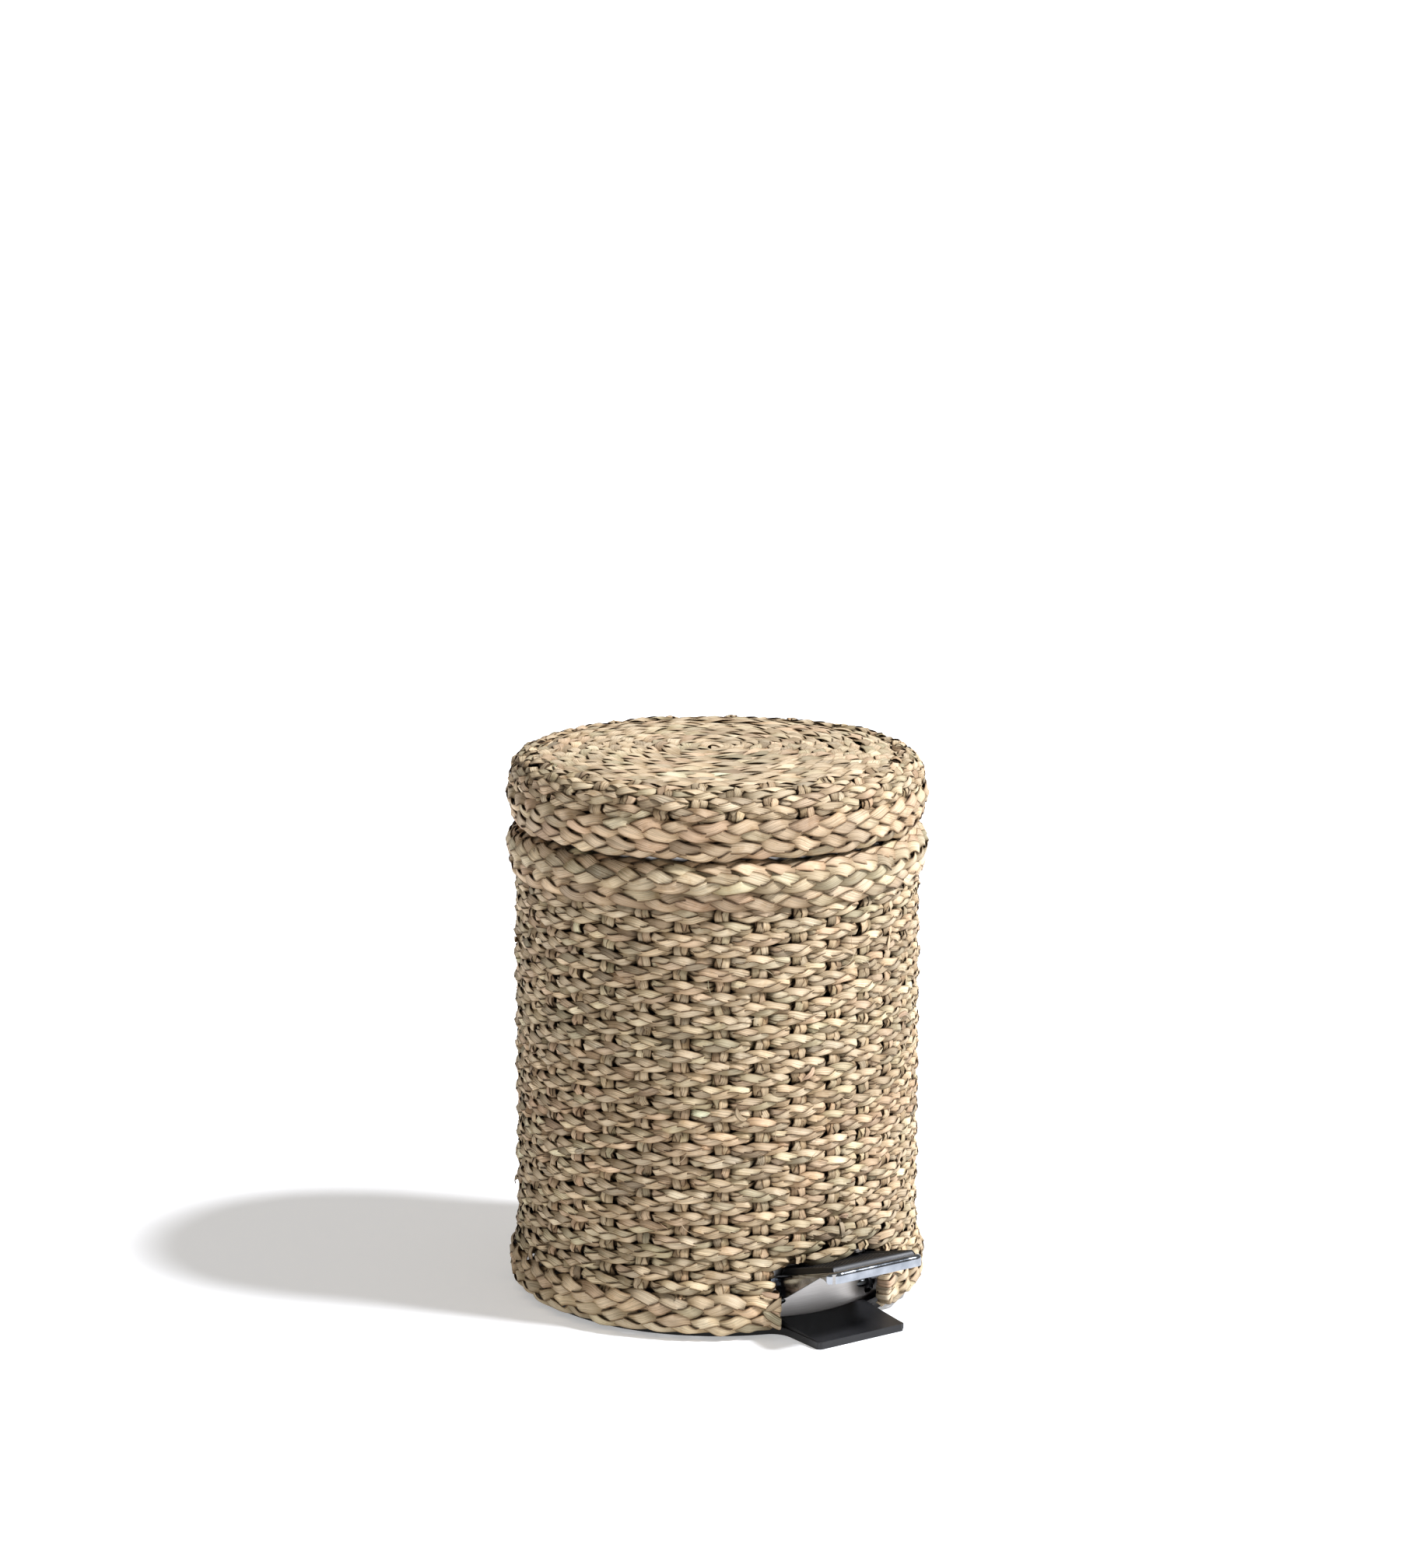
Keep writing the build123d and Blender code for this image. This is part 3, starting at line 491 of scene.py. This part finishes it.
def seagrass():
    """Dried seagrass: a colour with painted shade for each facet, painted shade towards strand edges, long
    fibres, small stains and a dull sheen.
    """
    material, nodes, links, shader = new_material("seagrass")
    tint = nodes.new("ShaderNodeAttribute")
    tint.attribute_name = "tint"
    fibre = nodes.new("ShaderNodeUVMap")
    fibre.uv_map = "fibre"
    coarse = noise(nodes, links, fibre.outputs["UV"], 1.0, 2.0, (2.1, 0.03, 1))
    fine = noise(nodes, links, fibre.outputs["UV"], 1.0, 3.0, (6.0, 0.05, 1))
    stain = noise(nodes, links, object_place(nodes), 160.0, 3.0)
    edge_shade_stops = [(0.0, (0.10, 0.06, 0.035)), (0.6, (0.66, 0.59, 0.50)), (0.97, 1.0)]
    coarse_stops = [(0.30, 0.66), (0.48, 0.96), (0.68, 1.12)]
    fine_stops = [(0.30, (0.68, 0.61, 0.52)), (0.48, 1.0), (0.70, 1.1)]
    stain_stops = [(0.28, (0.78, 0.70, 0.60)), (0.46, 1.0)]
    colour = tint.outputs["Color"]
    colour = multiply(nodes, links, colour, ramp(nodes, links, coarse, *coarse_stops))
    colour = multiply(nodes, links, colour, ramp(nodes, links, fine, *fine_stops))
    colour = multiply(nodes, links, colour, ramp(nodes, links, stain, *stain_stops), 0.7)
    # painted shade towards each strand's edges, from the colour's alpha
    colour = multiply(nodes, links, colour, ramp(nodes, links, tint.outputs["Alpha"], *edge_shade_stops))
    links.new(colour, shader.inputs["Base Color"])
    links.new(ramp(nodes, links, coarse, (0.3, 0.78), (0.7, 0.55)), shader.inputs["Roughness"])
    shader.inputs["Specular IOR Level"].default_value = 0.5
    ridges = bump(nodes, links, coarse, shader, 0.4)
    bump(nodes, links, fine, shader, 0.25, before=ridges)
    return material


def shaded_grass(name, dark, light):
    """Seagrass darkened with painted shade, for the inner side of the weave, which shows only through its
    gaps.
    """
    material, nodes, links, shader = new_material(name)
    cloud = noise(nodes, links, object_place(nodes), 200.0, 3.0)
    links.new(ramp(nodes, links, cloud, (0.3, dark), (0.7, light)), shader.inputs["Base Color"])
    shader.inputs["Roughness"].default_value = 0.9
    shader.inputs["Specular IOR Level"].default_value = 0.1
    return material


def brushed_steel(name, colour, roughness, brush=(1, 1, 60)):
    """Sheet metal with fine brush lines."""
    material, nodes, links, shader = new_material(name)
    where = object_place(nodes)
    lines = noise(nodes, links, where, 40.0, 4.0, brush)
    cloud = noise(nodes, links, where, 30.0, 2.0)
    shader.inputs["Metallic"].default_value = 1.0
    tones = ramp(nodes, links, lines, (0.3, toned(colour, 0.86)), (0.7, colour))
    links.new(tones, shader.inputs["Base Color"])
    rough = nodes.new("ShaderNodeMapRange")
    rough.inputs["To Min"].default_value = roughness * 0.75
    rough.inputs["To Max"].default_value = roughness * 1.3
    links.new(cloud, rough.inputs["Value"])
    links.new(rough.outputs["Result"], shader.inputs["Roughness"])
    bump(nodes, links, lines, shader, 0.02)
    return material


def polished_steel():
    """The pedal: bright nickel-like plating with a faintly uneven, frosted face."""
    material, nodes, links, shader = new_material("polished_steel")
    where = object_place(nodes)
    grain = noise(nodes, links, where, 900.0, 2.0)
    cloud = noise(nodes, links, where, 120.0, 3.0)
    dark, light = (0.27, 0.295, 0.33), (0.46, 0.49, 0.535)
    shader.inputs["Metallic"].default_value = 1.0
    links.new(ramp(nodes, links, cloud, (0.3, dark), (0.7, light)), shader.inputs["Base Color"])
    links.new(ramp(nodes, links, cloud, (0.3, 0.10), (0.7, 0.24)), shader.inputs["Roughness"])
    bump(nodes, links, grain, shader, 0.03)
    return material


def plastic(name, colour, roughness, grain=1400.0, depth=0.03):
    """Moulded plastic or rubber with a fine grain and slightly uneven gloss."""
    material, nodes, links, shader = new_material(name)
    where = object_place(nodes)
    fine = noise(nodes, links, where, grain, 2.0)
    cloud = noise(nodes, links, where, 45.0, 3.0)
    tone_stops = [(0.3, toned(colour, 0.8)), (0.7, toned(colour, 1.2))]
    rough_stops = [(0.3, roughness * 0.88), (0.7, roughness * 1.12)]
    links.new(ramp(nodes, links, cloud, *tone_stops), shader.inputs["Base Color"])
    links.new(ramp(nodes, links, cloud, *rough_stops), shader.inputs["Roughness"])
    bump(nodes, links, fine, shader, depth)
    return material


def paint_frame():
    """Gives every node that stays in view its material; returns the materials."""
    finishes = {
        "brushed_steel": brushed_steel("shell_steel", (0.54, 0.525, 0.51), 0.34),
        "zinc_steel": brushed_steel("zinc_steel", (0.60, 0.61, 0.62), 0.34, brush=(1, 1, 1)),
        "dark_steel": brushed_steel("dark_steel", (0.20, 0.21, 0.215), 0.32, brush=(30, 1, 1)),
        "polished_steel": polished_steel(),
        "black_plastic": plastic("black_plastic", (0.020, 0.020, 0.021), 0.40),
        "black_rubber": plastic("black_rubber", (0.012, 0.012, 0.013), 0.45, grain=2600.0, depth=0.05),
        "bucket_plastic": plastic("bucket_plastic", (0.05, 0.05, 0.052), 0.38),
    }
    for part in frame["record"]["subparts"]:
        finish = finishes.get(part["material_slot"])
        if finish is None:
            continue
        node = frame["nodes"][part["node"]]
        for spot in node.material_slots:
            spot.material = finish
    return finishes


# ---- the woven wall ----
def flare(z):
    """How far the wall spreads at its foot, over the border plaits."""
    spread, fades_over = 3.2, 6.0
    return spread * np.exp(-((z - WALL_LOW) / fades_over))


def weave_wall(material):
    """Rows of flat plaits over and under the stakes."""
    band, number = Weave(), 1
    for row in range(ROWS):
        rng = np.random.default_rng(ROW_SEED + row)
        height = WALL_LOW + (row + 0.5) * ROW_PITCH
        gap = None
        if height < OPENING_TOP:
            gap = FRONT_GAP
        elif height > NOTCH_LOW:
            gap = BACK_GAP
        radius = ROW_R + flare(height)
        line = course(WEAVER, rng, radius, height, swing=ROW_SWING, stakes=STAKES, shift=row, gap=gap)
        plait(band, rng, line, WEAVER)
        if (row + 1) % ROWS_IN_PIECE == 0 or row == ROWS - 1:
            band.piece(f"woven_rows_{number}", "bin", "woven_wall", material)
            band, number = Weave(), number + 1


def weave_stakes(material):
    """Upright plaits that the rows pass over and under."""
    stakes = Weave()
    inset, swing, sway = 0.4, 1.5, 0.7
    for stake in range(STAKES):
        rng = np.random.default_rng(STAKE_SEED + stake)
        angle = TURN * stake / STAKES
        x = ROW_R * math.sin(angle)
        over_opening = math.cos(angle) > 0 and abs(x) < OPENING_HALF + 1
        under_notch = math.cos(angle) < 0 and abs(x) < NOTCH_HALF + 1
        start = OPENING_TOP + 1.5 if over_opening else WALL_LOW - 2  # else inside the borders
        end = NOTCH_LOW if under_notch else WALL_HIGH + 3
        z = np.arange(start, end, STAKE.step)
        wave = math.pi * ((z - WALL_LOW) / ROW_PITCH - 0.5)
        lean = sway * wander(rng, len(z), 1, 4, False) / ROW_R
        r = ROW_R - inset + flare(z) - swing * np.cos(wave + math.pi * stake)
        centre = place(angle + lean, r, z)
        outward = radially(angle + 0 * z)
        across = np.cross(UP, outward)
        plait(stakes, rng, stake_line(rng, centre, outward, across, z), STAKE)
    stakes.piece("stakes", "bin", "woven_wall", material)


def curl(rng, angle, height, length, reach, steps):
    """A short bent line that leaves the weave, and the directions that its flat side faces."""
    part = np.linspace(0, 1, steps)
    heading = rng.uniform(0, TURN)
    bend = rng.uniform(-1.2, 1.2)
    run = length * part
    sideways = run * np.cos(heading + bend * part)
    upward = run * np.sin(heading + bend * part)
    out = reach * np.sin(math.pi * rng.uniform(0.5, 0.9) * part)
    around = angle + sideways / ROW_R
    start_r = ROW_R + 1.2
    return place(around, start_r + out, height + upward), radially(around)


def loose_ends(material):
    """Splice ends tucked out of the wall, and fine fibres that have worked loose."""
    ends = Weave()
    rng = np.random.default_rng(LOOSE_SEED)
    steps = 9
    for number in range(SPLICES + FIBRES):
        splice = number < SPLICES
        angle = rng.uniform(0, TURN)
        height = rng.uniform(OPENING_TOP + 15, NOTCH_LOW - 12)
        length = rng.uniform(6, 10) if splice else rng.uniform(6, 16)
        reach = rng.uniform(2.0, 3.2) if splice else rng.uniform(1.8, 4.0)
        path, facing = curl(rng, angle, height, length, reach, steps)
        half_width = np.full(steps, 1.5 if splice else 0.16)
        half_thick = np.full(steps, 0.3 if splice else 0.09)
        colour = any_straw(rng) * (rng.uniform(0.45, 0.9) if splice else 0.95)
        tint = one_tint(colour, steps)
        ends.strand(path, facing, half_width, half_thick, tint, False, mark=10.0 * number, soft=0.5)
    ends.piece("loose_ends", "bin", "woven_wall", material)


def fold(folds, rng, side, height):
    """One strip of straw, folded from the inner side round the opening's edge to the outer side."""
    bend = np.linspace(-math.pi / 2, math.pi / 2, 8)  # round the edge
    tail = np.linspace(0.12, 1, 7)  # then away from it, over the outer side
    steps = len(bend) + len(tail)
    foot_r, depth = 111.2, 4.0  # middle of the foot's plaits, and from there to either side
    middle = foot_r + rng.uniform(-0.8, 0.4)
    reach = rng.uniform(5.0, 10.0)
    rises = height <= FOOT_LOW + 8
    slant = rng.uniform(0.5, 6.0) if rises else rng.uniform(-6.5, 5.0)
    away = rng.uniform(0.2, 1.8) + np.concatenate([-1.3 * np.cos(bend), reach * tail])
    radius = middle + depth * np.concatenate([np.sin(bend), 1 - 0.55 * tail**2])
    z = height + rng.uniform(-1, 1) + slant * np.concatenate([0 * bend, tail])
    angle = side * (math.asin(OPENING_HALF / middle) + away / middle)
    sideways = np.stack([-side * np.cos(angle), -side * np.sin(angle), 0 * angle], axis=-1)
    lean = np.concatenate([bend, np.full(len(tail), math.pi / 2)])[:, None]
    facing = radially(angle) * np.sin(lean) + sideways * np.cos(lean)
    half_width = np.full(steps, rng.uniform(1.4, 2.5))
    half_thick = np.full(steps, 0.35)
    tint = one_tint(any_straw(rng) * rng.uniform(0.6, 1.05), steps)
    mark = 100 * rng.random()
    folds.strand(place(angle, radius, z), facing, half_width, half_thick, tint, False, mark, soft=0.1)


def bind_opening(material):
    """Straw folded round the ends of the foot's plaits, at both sides of the pedal's opening."""
    folds = Weave()
    rng = np.random.default_rng(FOLD_SEED)
    for side in (-1, 1):
        for height in np.linspace(FOOT_LOW + 4.0, FOOT_TOP - 1.0, FOLDS):
            fold(folds, rng, side, height)
    folds.piece("opening_folds", "bin", "woven_wall", material)


# ---- the border plaits ----
def weave_borders(material):
    """The fat plaits at the foot, at the rim and round the lid's lower edge."""
    courses = [  # name, body, node, radius, height, gap, way, lean
        ("foot_plait_lower", "bin", "foot_braid_lower", 111.6, FOOT_LOW + 5.6, FRONT_GAP, 1, -0.25),
        ("foot_plait_upper", "bin", "foot_braid_upper", 112.0, FOOT_SPLIT + 4.6, FRONT_GAP, -1, 0.12),
        ("rim_plait_lower", "bin", "rim_braid_lower", 110.4, RIM_SPLIT - 5.4, BACK_GAP, 1, 0.0),
        ("rim_plait_upper", "bin", "rim_braid_upper", 112.2, RIM_SPLIT + 4.6, BACK_GAP, -1, 0.12),
        ("rim_plait_top", "bin", "rim_braid_upper", 107.8, RIM_TOP - 3.1, BACK_GAP, 1, 0.95),
        ("lid_plait_lower", "lid", "lid_braid_lower", 110.2, LID_LOW + 2.7, BACK_GAP, -1, -0.35),
        ("lid_plait_upper", "lid", "lid_braid_upper", 111.8, LID_SPLIT + 3.4, BACK_GAP, 1, 0.0),
    ]
    for number, (name, body, node, radius, height, gap, way, lean) in enumerate(courses):
        ring = Weave()
        rng = np.random.default_rng(BORDER_SEED + number)
        line = course(BORDER, rng, radius, height, lean=lean, gap=gap, way=way, settle=0.5)
        plait(ring, rng, line, BORDER)
        ring.piece(name, body, node, material)


# ---- the woven lid ----
def shoulder(run):
    """Radius, height and lean of the lid's side, run millimetres up from the border's top."""
    bend_r, straight = 12.0, 3.0
    middle_r, middle_z = LID_R - 13.6, LID_SIDE + 2.5  # what it bends round
    bend = np.clip((run - straight) / bend_r, -0.4, 1.6)
    radius = middle_r + bend_r * np.cos(np.maximum(bend, 0))
    height = middle_z + bend_r * np.where(bend > 0, np.sin(bend), bend)
    return radius, height, np.maximum(bend, 0)


def lid_row(side, row):
    """One row of the lid's shoulder; only the lowest stops at the hinge's gap."""
    rng = np.random.default_rng(LID_ROW_SEED + row)
    radius, height, bend = (float(v) for v in shoulder(LID_FIRST_ROW + row * LID_ROW_PITCH))
    gap = BACK_GAP if row == 0 else None
    line = course(WEAVER, rng, radius, height, bend, LID_SWING, LID_STAKES, row, gap)
    plait(side, rng, line, WEAVER)


def lid_stake(side, stake):
    """One stake of the lid's shoulder, under and over its rows."""
    rng = np.random.default_rng(LID_STAKE_SEED + stake)
    run = np.arange(-2.0, 24.0, 1.3)
    inset = 0.9
    radius, height, bend = shoulder(run)
    wave = math.pi * ((run - LID_FIRST_ROW) / LID_ROW_PITCH + stake)
    swing = inset - 1.3 * np.cos(wave)
    angle = TURN * stake / LID_STAKES + 0 * run
    centre = place(angle, radius - inset + swing * np.cos(bend), height - inset + swing * np.sin(bend))
    outward = radially(angle) * np.cos(bend)[:, None] + UP * np.sin(bend)[:, None]
    across = unit(np.cross(slope(centre, False), outward))
    plait(side, rng, stake_line(rng, centre, outward, across, run), STAKE)


def weave_lid_side(material):
    """The lid's shoulder: rows that bend over towards the flat top, with their stakes."""
    side = Weave()
    for row in range(LID_ROWS):
        lid_row(side, row)
    for stake in range(LID_STAKES):
        lid_stake(side, stake)
    side.piece("lid_shoulder", "lid", "woven_lid_side", material)


def coil_line(rng):
    """The line of the coil, from under the shoulder to the middle."""
    outer = COIL_RIM + 0.6 * COIL_PITCH  # the start lies hidden under the shoulder
    turns = (outer - COIL_START_R) / COIL_PITCH
    steps = int(math.pi * outer * turns / COIL.step)
    part = np.linspace(0, 1, steps)
    radius = outer * np.sqrt(1 - part * (1 - (COIL_START_R / outer) ** 2))  # points evenly spaced
    first_angle = 0.8
    angle = TURN * (outer - radius) / COIL_PITCH + first_angle
    inside = np.minimum(radius / COIL_RIM, 1)
    crown = 1.3 * (1.0 - (radius / COIL_RIM) ** 2)
    rounding = 1.6 * inside**8  # only near the rim
    sunk = 2.2 * np.clip((radius - COIL_RIM) / (outer - COIL_RIM), 0, 1)  # only beyond it
    rise, sway = 0.45, 0.3
    z = LID_TOP - 3.2 + crown - rounding - sunk
    z += rise * wander(rng, steps, 10, 60, False)
    centre = place(angle, radius + sway * wander(rng, steps, 20, 90, False), z)
    tip = 0.28 * inside**6  # how far it leans out
    outward = unit(UP + radially(angle) * tip[:, None])
    across = unit(np.cross(slope(centre, False), outward))
    lengths = np.linalg.norm(np.diff(centre, axis=0), axis=1)
    turn = TURN * np.concatenate([[0], np.cumsum(lengths)]) / COIL.period
    return Line(centre, outward, across, turn, False, np.ones(steps), 1.0)


def fold_over_middle(coil):
    """The coil's last end, folded across its middle twice."""
    steps, half = 9, 5.5
    reach = np.linspace(-half, half, steps)
    for heading, lift in ((0.5, 0.0), (1.9, 0.45)):
        top = LID_TOP - 1.4 + lift - 1.8 * (reach / half) ** 2
        path = np.stack([reach * math.cos(heading), reach * math.sin(heading), top], axis=-1)
        facing = np.repeat(UP[None, :], steps, axis=0)
        half_width, half_thick = np.full(steps, 2.6), np.full(steps, 0.4)
        coil.strand(path, facing, half_width, half_thick, one_tint(STRAW[0], steps), False, soft=0.4)


def weave_lid_top(material):
    """One long plait coiled flat from the shoulder to the middle."""
    coil = Weave()
    rng = np.random.default_rng(COIL_SEED)
    plait(coil, rng, coil_line(rng), COIL)
    fold_over_middle(coil)
    coil.piece("lid_coil", "lid", "woven_lid_top", material)


# ---- the inner side of the weave, darkened with painted shade ----
def thin_sheet(name, points, faces, thickness, material):
    """An object from points and faces, made thick."""
    mesh = bpy.data.meshes.new(name)
    mesh.from_pydata(points, [], faces)
    made = add_object(name, mesh, material)
    thick = made.modifiers.new("thickness", "SOLIDIFY")
    thick.thickness = thickness * MM
    return made


def ring_points(count, radius, height):
    """Points of a level ring, in metres."""
    angle = np.linspace(0, TURN, count, endpoint=False)
    return [tuple(p * MM) for p in place(angle, radius, height + 0 * angle)]


def coil_backing_painted_shade():
    """The underside of the coiled top: a thin disc just below the plaits, darkened with painted shade."""
    count, radii = 96, [1.0, 40.0, 80.0, COIL_R - 3.5]
    points, faces = [], []
    for radius in radii:
        drop = 5.0 + 0.8 * (radius / COIL_R) ** 2
        points += ring_points(count, radius, LID_TOP - drop)
    for ring in range(len(radii) - 1):
        for i in range(count):
            a, b = ring * count + i, ring * count + (i + 1) % count
            faces.append((a, a + count, b + count, b))
    faces.append(tuple(range(count)))
    material = shaded_grass("seagrass_underside_painted_shade", (0.16, 0.11, 0.065), (0.34, 0.25, 0.16))
    made = thin_sheet("coil_backing_painted_shade", points, faces, 0.5, material)
    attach(made, "lid")
    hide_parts("woven_lid_top")


def backing_band(name, body, node, radius, levels, left_out, material):
    """A thin upright ring behind the plaits, dark with painted shade; left_out says which stretches have
    none.
    """
    count = 180
    points, faces = [], []
    for height in levels:
        points += ring_points(count, radius, height)
    for level in range(len(levels) - 1):
        for i in range(count):
            middle = TURN * (i + 0.5) / count
            if left_out(radius * math.sin(middle), math.cos(middle) > 0, level):
                continue
            a, b = level * count + i, level * count + (i + 1) % count
            faces.append((a, b, b + count, a + count))
    made = thin_sheet(name, points, faces, 0.6, material)
    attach(made, body)
    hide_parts(node)


def at_notch(x, front, level):
    """Whether a stretch of the backing lies at the hinge's gap."""
    return not front and abs(x) < NOTCH_HALF + 3


def at_opening_or_notch(x, front, level):
    """The same for the wall: the opening is in its lowest level, the notch in its highest."""
    opening = level == 0 and front and abs(x) < OPENING_HALF + 3
    return opening or (level == 2 and at_notch(x, front, level))


def weave_backing_in_painted_shade():
    """The inner side of the wall and of the borders, dark with painted shade behind their gaps."""
    dark = shaded_grass("seagrass_in_shade", (0.03, 0.02, 0.012), (0.09, 0.06, 0.036))
    brown = shaded_grass("seagrass_inner_side_painted_shade", (0.09, 0.06, 0.036), (0.20, 0.145, 0.09))
    wall = [WALL_LOW + 1, OPENING_TOP, NOTCH_LOW, WALL_HIGH + 3]
    rim = [RIM_LOW + 2, RIM_TOP - 2.0]
    lid = [LID_LOW + 0.8, LID_SIDE + 1.0]
    wall_r, rim_r, lid_r = SHELL_R + 1.6, SHELL_R + 3.2, LID_R - 6.2  # just behind the plaits
    backing_band("wall_backing_painted_shade", "bin", "woven_wall", wall_r, wall, at_opening_or_notch, dark)
    backing_band("rim_backing_painted_shade", "bin", "rim_braid_upper", rim_r, rim, at_notch, brown)
    backing_band("lid_backing_painted_shade", "lid", "lid_braid_lower", lid_r, lid, at_notch, brown)


# ---- the pedal's pad ----
def pad_height(x, forward, inset):
    """Height of the pad's face above its underside; inset is the distance in from its edge."""
    thick, border = 1.9, 4.0
    bead_height, bead_inset = 1.1, 1.6
    dot_height, dot_pitch, dot_part = 0.6, 3.0, 0.3  # a dot's radius is a part of their pitch
    bead = bead_height * np.exp(-((inset - bead_inset) ** 2))
    rounding = np.sqrt(np.clip(inset / 1.2, 0, 1))
    dot_x = (x / dot_pitch + 0.5) % 1 - 0.5
    dot_f = (forward / dot_pitch + 0.5) % 1 - 0.5
    dots = dot_height * np.clip(1 - (dot_x**2 + dot_f**2) / dot_part**2, 0, 1) * (inset > border)
    return (thick + bead) * rounding + dots


def pad_points(columns, rows):
    """Points of the pad's face and of its underside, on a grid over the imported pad's slope."""
    corners = np.array([tuple(v.co) for v in frame["nodes"]["pedal_pad"].data.vertices]) / MM
    half = np.abs(corners[:, 0]).max()
    near, far = corners[:, 1].max(), corners[:, 1].min()
    front_z = corners[corners[:, 1] < far + 2.0][:, 2].min()
    back_z = corners[corners[:, 1] > near - 2.0][:, 2].min()
    tilt = (front_z - back_z) / (near - far)
    x, forward = np.meshgrid(np.linspace(-half, half, columns), np.linspace(0, near - far, rows))
    inset = np.minimum(np.minimum(half - np.abs(x), forward), near - far - forward)
    lift = 1 / math.hypot(1, tilt)
    normal = np.array([0, tilt * lift, lift])
    under = np.stack([x, near - forward, back_z + tilt * forward], axis=-1)
    face = under + normal * (0.05 + pad_height(x, forward, inset))[:, :, None]
    return np.concatenate([face.reshape(-1, 3), under.reshape(-1, 3)]) * MM


def pad_faces(columns, rows):
    """Faces of the pad's upper side and underside, and the strip between them."""
    faces, size = [], rows * columns
    for i in range(rows - 1):
        for j in range(columns - 1):
            a = i * columns + j
            faces.append((a, a + columns, a + columns + 1, a + 1))
            faces.append(tuple(size + v for v in (a, a + 1, a + columns + 1, a + columns)))
    rim = list(range(columns))
    rim += [i * columns + columns - 1 for i in range(1, rows)]
    rim += [(rows - 1) * columns + j for j in range(columns - 2, -1, -1)]
    rim += [i * columns for i in range(rows - 2, 0, -1)]
    for a, b in zip(rim, rim[1:] + rim[:1]):
        faces.append((a, b, b + size, a + size))
    return faces


def mould_pad(material):
    """The pedal's rubber pad: a rounded bead round the edge and rows of small raised dots."""
    columns, rows = 96, 80
    mesh = bpy.data.meshes.new("pad_with_dots")
    points = [tuple(v) for v in pad_points(columns, rows)]
    mesh.from_pydata(points, [], pad_faces(columns, rows))
    mesh.shade_smooth()
    mesh.validate()
    made = add_object("pad_with_dots", mesh, material)
    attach(made, "pedal")
    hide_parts("pedal_pad")


# ---- floor, light and camera ----
def build_stage():
    """A wide, almost white floor; its faint glow keeps the shadow light, as a lit table does."""
    mesh = bpy.data.meshes.new("floor")
    half = 200.0  # metres, so that its edge never shows
    corners = [(-half, -half, 0), (half, -half, 0), (half, half, 0), (-half, half, 0)]
    mesh.from_pydata(corners, [], [(0, 1, 2, 3)])
    material, nodes, links, shader = new_material("pale_floor")
    shader.inputs["Base Color"].default_value = (0.78, 0.78, 0.785, 1)
    shader.inputs["Roughness"].default_value = 1.0
    shader.inputs["Specular IOR Level"].default_value = 0.0
    shader.inputs["Emission Color"].default_value = (1, 1, 1, 1)
    shader.inputs["Emission Strength"].default_value = 0.35
    floor = add_object("floor", mesh, material)


def build_light():
    """A soft key from the right and in front, over an even, dimmer studio."""
    world = bpy.data.worlds.new("studio")
    world.use_nodes = True
    backdrop = world.node_tree.nodes["Background"]
    backdrop.inputs["Color"].default_value = (1.0, 0.965, 0.91, 1)
    backdrop.inputs["Strength"].default_value = 0.225
    bpy.context.scene.world = world
    azimuth, elevation = math.radians(39.0), math.radians(50.0)
    level = math.cos(elevation)
    toward = (math.sin(azimuth) * level, -math.cos(azimuth) * level, math.sin(elevation))
    key = bpy.data.lights.new("key", "SUN")
    key.energy = 4.7
    key.angle = math.radians(10.0)
    key.color = (0.965, 0.985, 1.045)
    holder = bpy.data.objects.new("key", key)
    holder.rotation_euler = Vector(toward).to_track_quat("Z", "Y").to_euler()
    bpy.context.collection.objects.link(holder)


def build_camera():
    """Stands in front and to the left, a little above, as in a catalogue picture."""
    azimuth = math.radians(-35.0)
    away, height = 2.2, 0.7153
    pitch = math.radians(11.26)
    side_step = math.radians(0.1066)  # the bin stands a little right of the middle
    lens = bpy.data.cameras.new("camera")
    lens.lens = 95.36
    lens.sensor_width = 36.0
    camera = bpy.data.objects.new("camera", lens)
    camera.location = (math.sin(azimuth) * away, -math.cos(azimuth) * away, height)
    camera.rotation_euler = (math.pi / 2 - pitch, 0, azimuth + side_step)
    bpy.context.collection.objects.link(camera)
    bpy.context.scene.camera = camera
    bpy.context.scene.view_settings.view_transform = "Standard"
    bpy.context.scene.view_settings.look = "Medium High Contrast"


finishes = paint_frame()
grass = seagrass()
weave_wall(grass)
weave_stakes(grass)
loose_ends(grass)
bind_opening(grass)
weave_backing_in_painted_shade()
weave_borders(grass)
weave_lid_side(grass)
weave_lid_top(grass)
coil_backing_painted_shade()
mould_pad(finishes["black_rubber"])
build_stage()
build_light()
build_camera()
